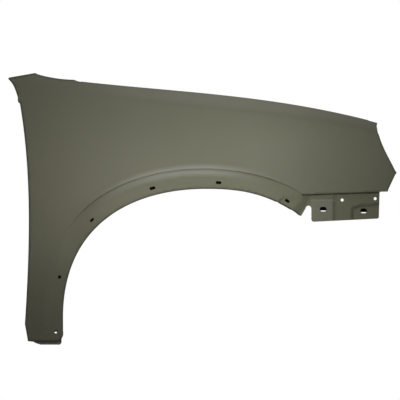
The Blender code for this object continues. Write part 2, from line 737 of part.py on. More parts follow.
def triangulated(loop, pierced, lines):
    """The flat blank as triangles: its outline, holes and fold lines, and points between.

    Returns the points, the triangles, and where each point of the outline went.
    """
    points, edges = [], []
    for ring in [loop] + pierced:
        first = len(points)
        points.extend(ring)
        edges.extend((first + k, first + (k + 1) % len(ring)) for k in range(len(ring)))
    for line in lines:
        first = len(points)
        points.extend(line)
        edges.extend((first + k, first + k + 1) for k in range(len(line) - 1))
    points.extend(grid_points(loop, pierced, lines, GRID, lambda p: ~is_fine(p)))
    points.extend(grid_points(loop, pierced, lines, FINE_GRID, is_fine))
    flat = [Vector((x, z)) for x, z in points]
    verts, _, faces, origins, _, _ = delaunay_2d_cdt(flat, edges, [], 0, 1e-7)
    verts = np.array([(v.x, v.y) for v in verts])
    middles = np.array([verts[list(face)].mean(axis=0) for face in faces])
    kept = inside(middles, loop)
    for ring in pierced:
        kept &= ~inside(middles, ring)
    faces = [tuple(face) for face, keep in zip(faces, kept) if keep]
    went = {old: new for new, olds in enumerate(origins) for old in olds}
    return verts, faces, went


def folded(heading, moves):
    """Points of a folded section: each move is a turn at a radius, or a straight run."""
    a, b, rows = 0.0, 0.0, []
    for turn, amount in moves:
        parts = BEND_FACETS if turn else 1
        for _ in range(parts):
            length = 2 * amount * math.sin(abs(turn) / parts / 2) if turn else amount
            a += length * math.cos(heading + turn / parts / 2)
            b += length * math.sin(heading + turn / parts / 2)
            heading += turn / parts
            rows.append((a, b))
    return rows


def add_strip(mesh, edge, sections):
    """Faces from an edge of the sheet out through each column of section points."""
    rows = [edge] + [[mesh.verts.new(p) for p in row] for row in zip(*sections)]
    for inner, outer in zip(rows[:-1], rows[1:]):
        for k in range(len(edge) - 1):
            mesh.faces.new((inner[k + 1], inner[k], outer[k], outer[k + 1]))


def flange_width(name, z):
    """An inward flange's width, with its bolt tab where it has one."""
    for owner, middle, tab in (
        ("door", HINGE_TAB_Z, HINGE_TAB),
        ("nose_front", LAMP_TAB_Z, LAMP_TAB),
    ):
        if name == owner and abs(z - middle) < tab[0] + RELIEF / 2:
            return tab[1]
    return FLANGES[name]


def add_flange(mesh, name, edge, flat, outward, reach):
    """An inward flange along part of the outline, square to the skin."""
    slope_x, slope_z = slopes(flat)
    sections = []
    for k, vertex in enumerate(edge):
        inward = Vector((-slope_x[k], 1.0, -slope_z[k])).normalized()
        x, z = outward[k]
        out = Vector((x, slope_x[k] * x + slope_z[k] * z, z)).normalized()
        width = flange_width(name, flat[k][1])
        section = folded(0.0, [(math.pi / 2, float(reach[k])), (0.0, width)])
        sections.append([vertex.co + a * out + b * inward for a, b in section])
    add_strip(mesh, edge, sections)


def rail_level(x, z):
    """Height of the rail under an edge point: level at each bolt's pad, else following the edge."""
    edge = bonnet_edge()[::-1]
    for bolt in RAIL_BOLTS:
        if abs(x - bolt) < RAIL_PAD / 2 + PROBE:
            return float(np.interp(bolt, edge[:, 0], edge[:, 1])) - GUTTER_DEPTH
    return z - GUTTER_DEPTH


def add_gutter(mesh, edge, flat):
    """The wall that drops inside the bonnet gap, and the bolt rail at its foot."""
    _, slope_z = slopes(flat - [0.0, BEND_RADIUS])
    down = GUTTER_LEAN - math.pi / 2
    sections = []
    for k, vertex in enumerate(edge):
        heading = math.atan2(1.0, float(slope_z[k]))
        over = (down - heading, BEND_RADIUS)
        under = (-down, BEND_RADIUS)
        risen = folded(heading, [over])[-1][1] + folded(down, [under])[-1][1]
        drop = vertex.co.z + risen - rail_level(vertex.co.x, vertex.co.z)
        wall = (0.0, drop / math.cos(GUTTER_LEAN))
        section = folded(heading, [over, wall, under, (0.0, RAIL_WIDTH)])
        sections.append([vertex.co + Vector((0.0, a, b)) for a, b in section])
    add_strip(mesh, edge, sections)
    return sections


def pressed_sheet():
    """The whole sheet as an open surface, painted side out, and the sections of its rail."""
    loop, outward, reach, spots = inset_outline(stretches())
    flat, faces, went = triangulated(loop, pierced_loops(), form_lines())
    mesh = bmesh.new()
    verts = [mesh.verts.new((x, y, z)) for (x, z), y in zip(flat, depth(flat))]
    for face in faces:
        mesh.faces.new([verts[k] for k in face])
    rail = []
    for name, (first, last) in spots.items():
        picked = np.arange(first + 1, last)
        if name == "nose_front":
            picked = picked[loop[picked, 1] < NOSE_TOP[1] - NOSE_RELIEF]
        if name == "bonnet":
            picked = picked[loop[picked, 0] < NOSE_TOP[0] - GUTTER_RELIEF]
        edge = [verts[went[k]] for k in picked]
        if name in FLANGES:
            add_flange(mesh, name, edge, loop[picked], outward[picked], reach[picked])
        if name == "bonnet":
            rail = add_gutter(mesh, edge, loop[picked])
    return mesh, rail


def rail_middle(rail, x):
    """The middle of the rail's upper side at a place along it."""
    rows = sorted((part[-1].x, (part[-1].y + part[-2].y) / 2, part[-1].z) for part in rail)
    places, sides, levels = zip(*rows)
    return Vector((x, np.interp(x, places, sides), np.interp(x, places, levels)))


def primer():
    """Olive-grey satin primer."""
    material = bpy.data.materials.new("primer")
    material.use_nodes = True
    shader = material.node_tree.nodes["Principled BSDF"]
    shader.inputs["Base Color"].default_value = (0.150, 0.150, 0.118, 1.0)
    shader.inputs["Roughness"].default_value = 0.42
    return material


def add_cutter(collection, name, diameter, length, place, turn=(0.0, 0.0, 0.0)):
    """A round cutter, along Z unless it is turned."""
    bpy.ops.mesh.primitive_cylinder_add(
        vertices=16, radius=diameter / 2, depth=length, location=place, rotation=turn
    )
    cutter = bpy.context.object
    cutter.name = name
    cutter.hide_render = True
    cutter.display_type = "WIRE"
    for owner in list(cutter.users_collection):
        owner.objects.unlink(cutter)
    collection.objects.link(cutter)
    return cutter


def tab_hole_place(line, z, tab):
    """The middle of a flange tab, behind the outline at a height."""
    order = np.argsort(line[:, 1])
    x = float(np.interp(z, line[order, 1], line[order, 0]))
    y = float(depth([(x, z)])[0]) + tab[1] / 2 + BEND_RADIUS
    return (x, y, z)


def hole_cutters(collection, rail):
    """Cutters for the rail's bolt holes and the holes in the two flange tabs."""
    runs = stretches()
    through_rail = 4 * RAIL_HOLE
    along_x = (0.0, math.pi / 2, 0.0)
    cutters = []
    for n, bolt in enumerate(RAIL_BOLTS):
        place = rail_middle(rail, bolt)
        name = f"rail_hole_{n + 1}"
        cutters.append(add_cutter(collection, name, RAIL_HOLE, through_rail, place))
    for name, stretch, z, tab in (
        ("hinge_tab_hole", "door", HINGE_TAB_Z, HINGE_TAB),
        ("lamp_tab_hole", "nose_front", LAMP_TAB_Z, LAMP_TAB),
    ):
        place = tab_hole_place(runs[stretch], z, tab)
        cutters.append(add_cutter(collection, name, tab[2], 2 * tab[1], place, along_x))
    return cutters


def smooth(panel):
    """Keeps what the modifiers made as the panel's mesh, smooth but for its sharp edges."""
    bpy.context.view_layer.update()
    graph = bpy.context.evaluated_depsgraph_get()
    made = bpy.data.meshes.new_from_object(panel.evaluated_get(graph))
    panel.modifiers.clear()
    panel.data = made
    made.shade_smooth()
    made.set_sharp_from_angle(angle=math.radians(35))


def main():
    for thing in list(bpy.data.objects):
        bpy.data.objects.remove(thing, do_unlink=True)
    fender = bpy.data.collections.new("car_fender")
    cutting = bpy.data.collections.new("cutters")
    for collection in (fender, cutting):
        bpy.context.scene.collection.children.link(collection)

    mesh, rail = pressed_sheet()
    data = bpy.data.meshes.new("fender_panel")
    mesh.to_mesh(data)
    mesh.free()
    data.materials.append(primer())
    panel = bpy.data.objects.new("fender_panel", data)
    fender.objects.link(panel)

    wall = panel.modifiers.new("sheet", "SOLIDIFY")
    wall.thickness = SHEET
    wall.offset = -1.0
    wall.use_even_offset = True
    wall.use_quality_normals = True
    for cutter in hole_cutters(cutting, rail):
        cut = panel.modifiers.new(cutter.name, "BOOLEAN")
        cut.object = cutter
        cut.solver = "EXACT"

    seat = rail_middle(rail, RAIL_BOLTS[1] - BESIDE_BOLT) - Vector((0.0, 0.0, SHEET))
    for thing in (*fender.objects, *cutting.objects):
        thing.location -= seat
    smooth(panel)


main()
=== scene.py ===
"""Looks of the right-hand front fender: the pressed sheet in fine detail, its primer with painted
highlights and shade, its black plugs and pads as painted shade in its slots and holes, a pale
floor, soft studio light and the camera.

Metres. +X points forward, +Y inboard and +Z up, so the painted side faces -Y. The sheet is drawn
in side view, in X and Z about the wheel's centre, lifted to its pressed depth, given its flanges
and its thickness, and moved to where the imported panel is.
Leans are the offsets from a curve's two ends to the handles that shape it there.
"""

import math

import bmesh
import bpy
import numpy as np
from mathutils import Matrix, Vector
from mathutils.geometry import delaunay_2d_cdt, interpolate_bezier


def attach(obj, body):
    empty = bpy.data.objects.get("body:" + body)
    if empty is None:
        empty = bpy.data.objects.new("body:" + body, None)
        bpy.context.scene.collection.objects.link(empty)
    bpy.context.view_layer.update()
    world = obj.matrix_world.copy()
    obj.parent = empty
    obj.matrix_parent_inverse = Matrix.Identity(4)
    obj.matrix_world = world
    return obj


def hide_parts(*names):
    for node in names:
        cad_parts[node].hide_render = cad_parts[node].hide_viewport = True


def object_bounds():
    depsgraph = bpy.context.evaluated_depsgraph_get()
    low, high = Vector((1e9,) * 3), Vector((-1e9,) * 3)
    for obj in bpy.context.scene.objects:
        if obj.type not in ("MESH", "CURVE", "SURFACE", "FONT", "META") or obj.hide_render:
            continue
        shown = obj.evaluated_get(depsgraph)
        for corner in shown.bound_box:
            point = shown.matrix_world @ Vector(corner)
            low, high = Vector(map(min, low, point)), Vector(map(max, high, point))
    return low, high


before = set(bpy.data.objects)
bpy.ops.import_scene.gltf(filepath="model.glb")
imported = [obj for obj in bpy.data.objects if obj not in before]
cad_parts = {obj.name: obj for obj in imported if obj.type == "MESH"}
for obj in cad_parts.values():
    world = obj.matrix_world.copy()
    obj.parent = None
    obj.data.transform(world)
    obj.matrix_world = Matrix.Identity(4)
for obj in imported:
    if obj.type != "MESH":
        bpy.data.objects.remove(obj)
cad_low, cad_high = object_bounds()

# Sheet, bends and pressed steps
SHEET = 0.0008
BEND_RADIUS = 0.0025
STEP_RUN = 0.0016
RELIEF = 0.0014
RELIEF_CLEAR = 1.3 * RELIEF
CORNER_RUN = 0.008
CORNER_SHARES = np.array([0.15, 0.4, 0.7, 1.0])

# Wheel arch
ARCH_HEIGHT = 0.397
ARCH_REAR = 0.3856
ARCH_SPRING = 0.0486
ARCH_REAR_LEANS = ((0.0, 0.2504), (-0.203, 0.0))
ARCH_FRONT_LEANS = ((0.079, 0.0), (-0.092, 0.066))
ARCH_TIP_X = 0.256
ARCH_TIP_DROP = 0.073
ARCH_LIP = 0.013

# Leg and foot
LEG_WIDTH = 0.0954
FOOT_DROP = 0.014
FOOT_CHAMFER = 0.015
SILL_BULGE = 0.3 * FOOT_CHAMFER
FOOT_TAB_DROP = 0.0095
FOOT_TAB_SET = 0.006
FOOT_TAB_REAR = 0.015
FOOT_TAB_FRONT = 0.0044
FOOT_HOLE = 0.0076
FOOT_DIMPLE = 0.0126
FOOT_DIMPLE_DEPTH = 0.0022
FOOT_HOLE_BACK = 0.020
FOOT_HOLE_RISE = 0.025
FOOT_SEAT = 0.0062

# Door edge and pillar
FLARE_BACK = 0.008
FLARE_RISE = 0.046
DOOR_HEIGHT = 0.643
DOOR_RAKE = 0.021
DOOR_LEANS = ((0.034, -0.204), (0.013, 0.196))
DOOR_FLANGE = 0.014
NUB_WIDTH = 0.0055
NUB_LOW = 0.004
NUB_HIGH = 0.015
PILLAR_BACK = 0.032
PILLAR_RISE = 0.065
PILLAR_BLUNT = (0.0035, 0.0038)
PILLAR_LEANS = ((0.014, -0.012), (-0.007, 0.023))
PILLAR_FLANGE = 0.009

# Upper edge from the pillar to the bonnet gap
PEAK_RUN = 0.073
PEAK_RISE = 0.016
COWL_RUN = 0.105
COWL_DROP = 0.017
COWL_LEANS = ((-0.033, 0.0), (0.023, -0.009))
COWL_FLANGE = 0.016
STEP_LENGTH = 0.017
STEP_DROP = 0.007
BONNET_LEANS = ((-0.288, 0.075), (0.267, -0.030))

# Nose
NOSE_LOW_X = 0.492
NOSE_LOW_DROP = 0.007
NOSE_TIP_RUN = 0.0245
NOSE_TIP_RISE = 0.051
NOSE_TOP_BACK = 0.0525
NOSE_TOP_RISE = 0.135
NOSE_LEANS = ((-0.0185, 0.041), (0.003, -0.052))
NOSE_FLANGE = 0.012
NOSE_RELIEF = 0.030

# Bumper bracket below the nose
SKIN_LOW_FALL = 0.008
NOTCH_WIDTH = 0.016
NOTCH_REAR = 0.0125
NOTCH_TOP = 0.030
NOTCH_FACETS = 6
BRACKET_SET = 0.013
BRACKET_INSET = 0.022
BRACKET_HEIGHT_REAR = 0.074
BRACKET_HEIGHT_FRONT = 0.0723
BRACKET_CORNER = 0.006
REAR_CORNER_SHARES = ((-1.0, 1.0), (-0.7, 0.3))
FRONT_CORNER_SHARES = ((0.6, 0.3), (0.7, 1.0))
REAR_BOLT = (0.032, 0.0345)
FRONT_BOLT = (-0.0435, 0.021)
BOLT_SLOT = 0.0185
BOLT_SLOT_WIDTH = 0.0128
BOLT_SEAT = 0.006
MIDDLE_PIN = (0.0835, 0.0185)
FRONT_PIN = (-0.012, 0.018)
PIN_HOLE = 0.0082
PAD_RAISE = 0.0045
PAD_EDGE = 0.061
PAD_TOP = 0.015
POCKET_DEPTH = 0.0065
POCKET_EDGE = 0.075
POCKET_TOP = 0.025
POCKET_TILT = 0.150
RELIEF_RUN = 0.009

# Ledge over the arch band, and the band for the arch moulding
BAND_WIDTH = 0.055
LEDGE_TOP_X = -0.005
LEDGE_FRONT_LEANS = ((0.052, 0.0), (-0.086, 0.061))
LEDGE_END_SET = 0.005
LEDGE_KNEE_SET = 0.0059
LEDGE_KNEE_RISE = 0.1834
LEDGE_REAR_LEANS = ((0.0295, 0.140), (-0.185, 0.0))
LEG_RIDGE_SET = 0.0484
LEG_RIDGE_FOOT = 0.040
LEG_RIDGE_BEND = 0.0564
LEG_RIDGE_LEANS = ((0.0, 0.045), (-0.0125, -0.067))
SWELL_RISE = 0.0028
SWELL_WIDTH = 0.024
LEDGE_DEPTH = 0.0025
LEDGE_STRIP = 0.030
LEDGE_STARTS = 0.220
LEDGE_FULL = 0.380
BAND_PROUD = 0.006
LEG_FALL = 0.100
FOLD_TURNS = ((-0.001, 0.0), (-0.0034, -0.0134), (-0.0107, -0.0237), (-0.0275, -0.0434))
FOLD_RUN = 0.019
JOGGLE_BACK = 0.060
JOGGLE_RISE = 0.040
JOGGLE_FADE = (JOGGLE_RISE, 1.5 * JOGGLE_RISE)
JOGGLE_RUN = 0.004
JOGGLE_DEPTH = 0.0025

# Clip slots in the band: degrees round the wheel's centre, distance from the edge, length, width
CLIP_SLOTS = (
    (157.6, 0.0226, 0.0095, 0.008),
    (134.5, 0.0225, 0.0135, 0.0065),
    (110.1, 0.020, 0.016, 0.008),
    (85.2, 0.0176, 0.0155, 0.008),
    (58.9, 0.015, 0.0135, 0.0075),
)

# Pressed depth of the body surface
BELT_RISE = 0.030
BELT_X = -0.060
CROWN_BAND = 0.110
CROWN_SLOPE = 0.250
TUCK = 0.048
TUCK_POWER = 2.0
REAR_PLAN_RADIUS = 8.8
NOSE_SWEEP = 0.150
NOSE_POWER = 2.4
SEAT_BLEND = 0.008

# Shoulder crease below the bonnet gap
CREASE_REAR = (0.002, -0.029)
CREASE_NOSE = (-0.018, -0.016)
CREASE_LEANS = ((0.321, -0.061), (-0.313, 0.065))
CREASE_FADE = 0.100
CREASE_REACH_STEPS = 40.0
SHOULDER_SLOPE = 0.35
SHOULDER_BEND = 0.016

# Gutter and bolt rail inside the bonnet gap
GUTTER_DEPTH = 0.027
GUTTER_LEAN = math.radians(15)
GUTTER_RELIEF = 0.024
RAIL_WIDTH = 0.026
RAIL_PAD = 0.056
RAIL_HOLE = 0.009
RAIL_BOLT_REAR = 0.069
RAIL_BOLT_NOSE = 0.064
BESIDE_BOLT = 0.018

# Wider tabs on the door flange and the nose flange: half length, width, hole
HINGE_TAB = (0.018, 0.030, 0.009)
HINGE_TAB_DROP = 0.073
LAMP_TAB = (0.014, 0.026, 0.007)
LAMP_TAB_DROP = 0.065

# Spacing of points, and where lines run beside the ledge and the crease, as shares
GRID = 0.0055
FINE_GRID = 0.0028
GRID_CLEAR = 0.55
EDGE_STEP = 0.005
ARCH_STEP = 0.005
NOTCH_STEP = 0.003
CROWDED = 0.3 * EDGE_STEP
CURVE_POINTS = 200
BEND_FACETS = 6
HOLE_POINTS = 32
STEP_LINES = 4
STRIP_LINES = (0.15, 0.3, 0.5, 0.75, 1.0)
SWELL_LINES = (0.15, 0.35, 0.6, 1.0)
CREASE_LINES = (-0.5, -0.25, 0.0, 0.25, 0.5)
JOIN_WITHIN = 1e-7
SHARP_ANGLE = math.radians(35)

# Short steps along X and Z that measure a slope
PROBE = 0.0005
PROBES = np.array([(PROBE, 0.0), (0.0, PROBE)])

# Colours and gloss of the primer with its painted highlight and shade, and of the black pieces of
# painted shade
PRIMER_DARK = (0.148, 0.149, 0.106, 1.0)
PRIMER_LIGHT = (0.160, 0.161, 0.116, 1.0)
OLIVE_TINT = (0.149, 0.150, 0.102, 1.0)
HIGHLIGHT_TINT = (0.250, 0.250, 0.213, 1.0)
PAINTED_SHADE_TINT = (0.022, 0.021, 0.012, 1.0)
ROUGH_LOW = (0.46, 0.46, 0.46, 1.0)
ROUGH_HIGH = (0.53, 0.53, 0.53, 1.0)
ROUGH_HIGHLIGHT = (0.34, 0.34, 0.34, 1.0)
PRIMER_SPECULAR = 0.2
SHADE_BLACK_DARK = (0.003, 0.0028, 0.002, 1.0)
SHADE_BLACK_LIGHT = (0.007, 0.0065, 0.005, 1.0)
MATT = 0.9
RAMP_ENDS = (0.3, 0.7)
WHITE = (1.0, 1.0, 1.0, 1.0)

# Where the primer is greener, or lighter by painted highlight: fades along X, spreads as shares,
# and strengths
OLIVE_FADE = (-0.35, -0.10)
LEDGE_SHEEN_REAR = (-0.34, -0.12)
LEDGE_SHEEN_FRONT = (-0.02, 0.20)
SWELL_SHEEN = (0.1, 0.6)
STRIP_SHEEN = (0.35, 0.75)
SHOULDER_FADE = (-0.42, -0.20)
SHOULDER_SHEEN = 0.18
LEG_SHEEN = 0.12
LEG_SHEEN_RUN = 0.004
PAD_SHEEN = 0.26
FOOT_SHEEN = 0.8

# Where painted shade darkens it: strengths, how wide it lies, and its fade up the leg
CREASE_SHADE = 0.10
PAD_SHADE = 0.22
PAD_END_RUN = (-0.0104, 0.0078)
POCKET_SHADE = 0.38
RELIEF_SHADING_RUN = 0.013
STEP_SHADE_RUN = 0.004
RIM_SHADE = 0.85
LEG_SHADE = 0.30
LEG_FADE = (0.02, 0.30)

# Rings of a clip plug, a black piece of painted shade in the slot: share of its slot, and how far
# it lies behind the painted side
PLUG_RINGS = (
    (0.55, 0.0006),
    (0.80, 0.0008),
    (0.95, 0.0012),
    (0.97, 0.0018),
    (1.35, 0.0018),
    (1.35, 0.0028),
    (0.60, 0.005),
)

# Black pads behind the bolt holes, painted shade in their upper parts: wider than the hole by
# PAD_OVER, and open over a share of it, which lies lower by a share of its width; and how far their
# two faces are behind the painted side
PAD_OVER = 0.003
PAD_OPEN = 0.80
REAR_PAD_DROP = 0.33
FRONT_PAD_DROP = 0.31
FOOT_PAD_DROP = 0.28
PAD_FACES = (0.0012, 0.0024)

# Camera, floor and light: places from the wheel's centre, sizes in metres, power in watts
PICTURE_MIDDLE = (-0.0162, 0.3672)
CAMERA_AWAY = 30.0
CAMERA_LENS = 1000.0
CAMERA_SENSOR = 36.0
FLOOR_DROP = 0.35
FLOOR_HALF = 7.0
FLOOR_LIFT = 0.42
FLOOR_TINT = (0.8, 0.8, 0.8, 1.0)
AMBIENT = 0.05
LAMPS = (
    ("key_front", (0.30, -0.55, 0.45), (0.30, 0.05, 0.45), (0.35, 0.40), 1.82, (1.0, 1.0, 0.97)),
    ("key_middle", (-0.12, -0.50, 0.42), (-0.12, 0.05, 0.42), (0.35, 0.30), 0.94, (1.0, 1.0, 0.99)),
    ("key_rear", (-0.28, -0.44, 0.34), (-0.28, 0.05, 0.34), (0.25, 0.25), 0.37, (1.0, 0.95, 0.87)),
    ("key_low", (-0.44, -0.20, -0.12), (-0.44, 0.05, -0.02), (0.10, 0.03), 0.01, (1.0, 1.0, 1.0)),
    ("high_front", (-0.05, -1.20, 1.70), (-0.05, 0.05, 0.45), (0.8, 0.4), 2.60, (1.0, 1.0, 1.0)),
    ("sky_near", (0.18, -0.25, 1.25), (0.18, 0.0, 0.60), (0.9, 0.4), 1.50, (0.97, 0.98, 1.0)),
    ("side", (2.00, -0.60, 0.40), (0.30, 0.0, 0.40), (0.8, 1.2), 0.40, (1.0, 0.97, 0.93)),
    ("fill_back", (0.00, 1.60, 0.90), (0.00, 0.0, 0.30), (1.6, 1.0), 14.0, (1.0, 1.0, 1.0)),
)

# Corners of the side view and spans where forms fade, as the sizes above give them
FOOT_Z = -FOOT_DROP
LEG_X = -ARCH_REAR
FOOT_REAR = (LEG_X - LEG_WIDTH, FOOT_Z)
FLARE = (FOOT_REAR[0] - FLARE_BACK, FOOT_Z + FLARE_RISE)
DOOR_TOP = (FOOT_REAR[0] - DOOR_RAKE, FOOT_Z + DOOR_HEIGHT)
PILLAR_TIP = (DOOR_TOP[0] - PILLAR_BACK, DOOR_TOP[1] + PILLAR_RISE)
PEAK = (PILLAR_TIP[0] + PEAK_RUN, PILLAR_TIP[1] + PEAK_RISE)
COWL = (PEAK[0] + COWL_RUN, PEAK[1] - COWL_DROP)
BONNET_REAR = (COWL[0] + STEP_LENGTH, COWL[1] - STEP_DROP)
NOSE_LOW = (NOSE_LOW_X, ARCH_HEIGHT - NOSE_LOW_DROP)
NOSE_TIP = (NOSE_LOW[0] + NOSE_TIP_RUN, NOSE_LOW[1] + NOSE_TIP_RISE)
NOSE_TOP = (NOSE_TIP[0] - NOSE_TOP_BACK, NOSE_TIP[1] + NOSE_TOP_RISE)
ARCH_TIP = (ARCH_TIP_X, ARCH_HEIGHT - ARCH_TIP_DROP)
LEDGE_END = (ARCH_TIP[0] + LEDGE_END_SET, NOSE_LOW[1] - SKIN_LOW_FALL)
NOTCH_X = ARCH_TIP[0] + NOTCH_REAR
BRACKET_REAR = NOTCH_X + NOTCH_WIDTH
BRACKET_FRONT = NOSE_LOW[0] - BRACKET_INSET
BELT_Z = ARCH_HEIGHT + BELT_RISE
LEDGE_FADE = (0.5 * ARCH_TIP_X, ARCH_TIP_X)
SWELL_FADE = (0.3 * ARCH_TIP_X, ARCH_TIP_X)
LEG_FALL_Z = FOOT_Z + 1.5 * LEG_RIDGE_FOOT
FINE_X = ARCH_TIP[0] - JOGGLE_BACK - JOGGLE_RISE
HINGE_TAB_Z = DOOR_TOP[1] - HINGE_TAB_DROP
LAMP_TAB_Z = NOSE_TOP[1] - LAMP_TAB_DROP
RAIL_BOLTS = (
    BONNET_REAR[0] + RAIL_BOLT_REAR,
    (BONNET_REAR[0] + RAIL_BOLT_REAR + NOSE_TOP[0] - RAIL_BOLT_NOSE) / 2,
    NOSE_TOP[0] - RAIL_BOLT_NOSE,
)

# Inward flange behind each flanged edge, those that point straight inboard, and the bolt tabs
FLANGES = {
    "arch": ARCH_LIP,
    "door": DOOR_FLANGE,
    "pillar": PILLAR_FLANGE,
    "pillar_top": COWL_FLANGE,
    "cowl": COWL_FLANGE,
    "nose_front": NOSE_FLANGE,
    "nose_under": NOSE_FLANGE,
}
STRAIGHT_FLANGES = ("pillar", "pillar_top")
TABS = {
    "door": (HINGE_TAB_Z, HINGE_TAB),
    "nose_front": (LAMP_TAB_Z, LAMP_TAB),
}


def moved(point, offset):
    return (point[0] + offset[0], point[1] + offset[1])


def gone_along(points):
    """How far along its run each point is."""
    return np.concatenate([[0.0], np.cumsum(np.hypot(*np.diff(points, axis=0).T))])


def at_places(points, gone, places):
    """Points of a run at places along it."""
    return np.column_stack([np.interp(places, gone, points[:, k]) for k in (0, 1)])


def resampled(points, step):
    """The same run of points, evenly spaced about one step apart, with its two ends kept."""
    points = np.asarray(points, float)
    gone = gone_along(points)
    count = max(2, round(gone[-1] / step) + 1)
    return at_places(points, gone, np.linspace(0.0, gone[-1], count))


def curve(start, lean_start, lean_end, end, step):
    """Evenly spaced points along a cubic curve in side view."""
    corners = (start, moved(start, lean_start), moved(end, lean_end), end)
    dense = interpolate_bezier(*[Vector((x, z, 0.0)) for x, z in corners], CURVE_POINTS)
    return resampled([(p.x, p.y) for p in dense], step)


def straight(start, end, step):
    return resampled([start, end], step)


def joined(*runs):
    """Runs that follow each other, without the doubled points where they meet."""
    return np.vstack([runs[0]] + [run[1:] for run in runs[1:]])


def through(points, step):
    """Straight sides through every given point, with more points along the longer sides."""
    return joined(*[straight(a, b, step) for a, b in zip(points[:-1], points[1:])])


def oval(centre, length, width, along=(1.0, 0.0), points=HOLE_POINTS):
    """A closed round-ended slot, its long side along the given direction."""
    half = (length - width) / 2
    across = (-along[1], along[0])
    loop = []
    for k in range(points):
        angle = 2 * math.pi * (k + 0.5) / points
        a = width / 2 * math.cos(angle) + math.copysign(half, math.cos(angle))
        b = width / 2 * math.sin(angle)
        loop.append([centre[i] + a * along[i] + b * across[i] for i in (0, 1)])
    return np.array(loop)


def foot_edge():
    """The foot's lower edge, with the tab that hangs below it."""
    rear = FOOT_REAR[0] + FOOT_TAB_REAR
    front = LEG_X - FOOT_TAB_FRONT
    low = FOOT_Z - FOOT_TAB_DROP
    half = FOOT_TAB_DROP / 2
    corners = [
        FOOT_REAR,
        (rear, FOOT_Z - STEP_RUN),
        (rear + half, FOOT_Z - half),
        (rear + 2 * FOOT_TAB_DROP, low),
        (front - half, low),
        (front, low + half),
        (front, FOOT_Z + FOOT_CHAMFER / 2 - STEP_RUN),
        (LEG_X, FOOT_Z + FOOT_CHAMFER),
    ]
    return through(corners, 2 * EDGE_STEP)


def sill_line():
    """The skin's own lower edge at the foot, in front of the tab."""
    return np.array(
        [
            FOOT_REAR,
            (FOOT_REAR[0] + FOOT_TAB_REAR, FOOT_Z),
            (LEG_X - FOOT_CHAMFER, FOOT_Z),
            (LEG_X - SILL_BULGE, FOOT_Z + SILL_BULGE),
            (LEG_X, FOOT_Z + FOOT_CHAMFER),
        ]
    )


def arch_edge():
    """The wheel opening from the foot to its front tip."""
    spring = (LEG_X, ARCH_SPRING)
    crown = (0.0, ARCH_HEIGHT)
    leg = straight((LEG_X, FOOT_Z + FOOT_CHAMFER), spring, ARCH_STEP)
    rear = curve(spring, *ARCH_REAR_LEANS, crown, ARCH_STEP)
    front = curve(crown, *ARCH_FRONT_LEANS, ARCH_TIP, ARCH_STEP)
    return joined(leg, rear, front)


def bracket_low_z(x):
    """Height of the bracket's lower edge."""
    rear = LEDGE_END[1] - BRACKET_HEIGHT_REAR
    front = skin_low_z(BRACKET_FRONT) - BRACKET_HEIGHT_FRONT
    return rear + (x - BRACKET_REAR) / (BRACKET_FRONT - BRACKET_REAR) * (front - rear)


def bracket_edge():
    """From the arch's front tip round the notch and the bracket to the skin's lower edge."""
    half = NOTCH_WIDTH / 2
    crown = []
    for k in range(NOTCH_FACETS + 1):
        angle = math.pi * (1 - k / NOTCH_FACETS)
        x = NOTCH_X + half + half * math.cos(angle)
        crown.append((x, LEDGE_END[1] - NOTCH_TOP + half * (math.sin(angle) - 1)))
    corner = BRACKET_CORNER
    rear_low = (BRACKET_REAR + corner, bracket_low_z(BRACKET_REAR + corner))
    front_low = (BRACKET_FRONT - corner, bracket_low_z(BRACKET_FRONT - corner))
    top = skin_low_z(BRACKET_FRONT)
    corners = [
        ARCH_TIP,
        moved(ARCH_TIP, (RELIEF / 2, 0.0)),
        *crown,
        *[moved(rear_low, (a * corner, b * corner)) for a, b in REAR_CORNER_SHARES],
        rear_low,
        front_low,
        *[moved(front_low, (a * corner, b * corner)) for a, b in FRONT_CORNER_SHARES],
        (BRACKET_FRONT, top - STEP_RUN),
        (BRACKET_FRONT, top),
    ]
    return through(corners, NOTCH_STEP)


def skin_low_z(x):
    """Height of the skin's lower edge over the bumper bracket."""
    share = (x - LEDGE_END[0]) / (NOSE_LOW[0] - LEDGE_END[0])
    return LEDGE_END[1] + share * (NOSE_LOW[1] - LEDGE_END[1])


def bonnet_edge(step=EDGE_STEP):
    """The upper edge along the bonnet gap, from the nose to the rear."""
    return curve(NOSE_TOP, *BONNET_LEANS, BONNET_REAR, step)


def ledge_line():
    """The step over the arch band and on along the skin's lower edge, from foot to bracket."""
    ridge_x = LEG_X - LEG_RIDGE_SET
    foot = (ridge_x, FOOT_Z + LEG_RIDGE_FOOT)
    bend = (ridge_x, ARCH_SPRING + LEG_RIDGE_BEND)
    knee = (LEG_X - LEDGE_KNEE_SET, ARCH_SPRING + LEDGE_KNEE_RISE)
    top = (LEDGE_TOP_X, ARCH_HEIGHT + BAND_WIDTH)
    return joined(
        straight(foot, bend, ARCH_STEP),
        curve(bend, *LEG_RIDGE_LEANS, knee, ARCH_STEP),
        curve(knee, *LEDGE_REAR_LEANS, top, ARCH_STEP),
        curve(top, *LEDGE_FRONT_LEANS, LEDGE_END, ARCH_STEP),
        straight(LEDGE_END, (BRACKET_FRONT, skin_low_z(BRACKET_FRONT)), EDGE_STEP),
    )


def crease_line():
    """The shoulder crease below the bonnet gap, from rear to nose."""
    rear = moved(PEAK, CREASE_REAR)
    nose = moved(NOSE_TOP, CREASE_NOSE)
    return curve(rear, *CREASE_LEANS, nose, EDGE_STEP)


def crease_field():
    """The crease run on past both its ends, so that it parts the whole sheet."""
    crease = crease_line()
    before = crease[0] - CREASE_REACH_STEPS * (crease[1] - crease[0])
    after = crease[-1] + CREASE_REACH_STEPS * (crease[-1] - crease[-2])
    return np.vstack([before, crease, after])


def fold_line():
    """Where the arch band turns inboard to the bumper bracket, from the ledge down."""
    return np.array([moved(LEDGE_END, turn) for turn in FOLD_TURNS])


def from_ends(run):
    """How far each point is from the nearer end of its run."""
    return np.minimum(np.hypot(*(run - run[0]).T), np.hypot(*(run - run[-1]).T))


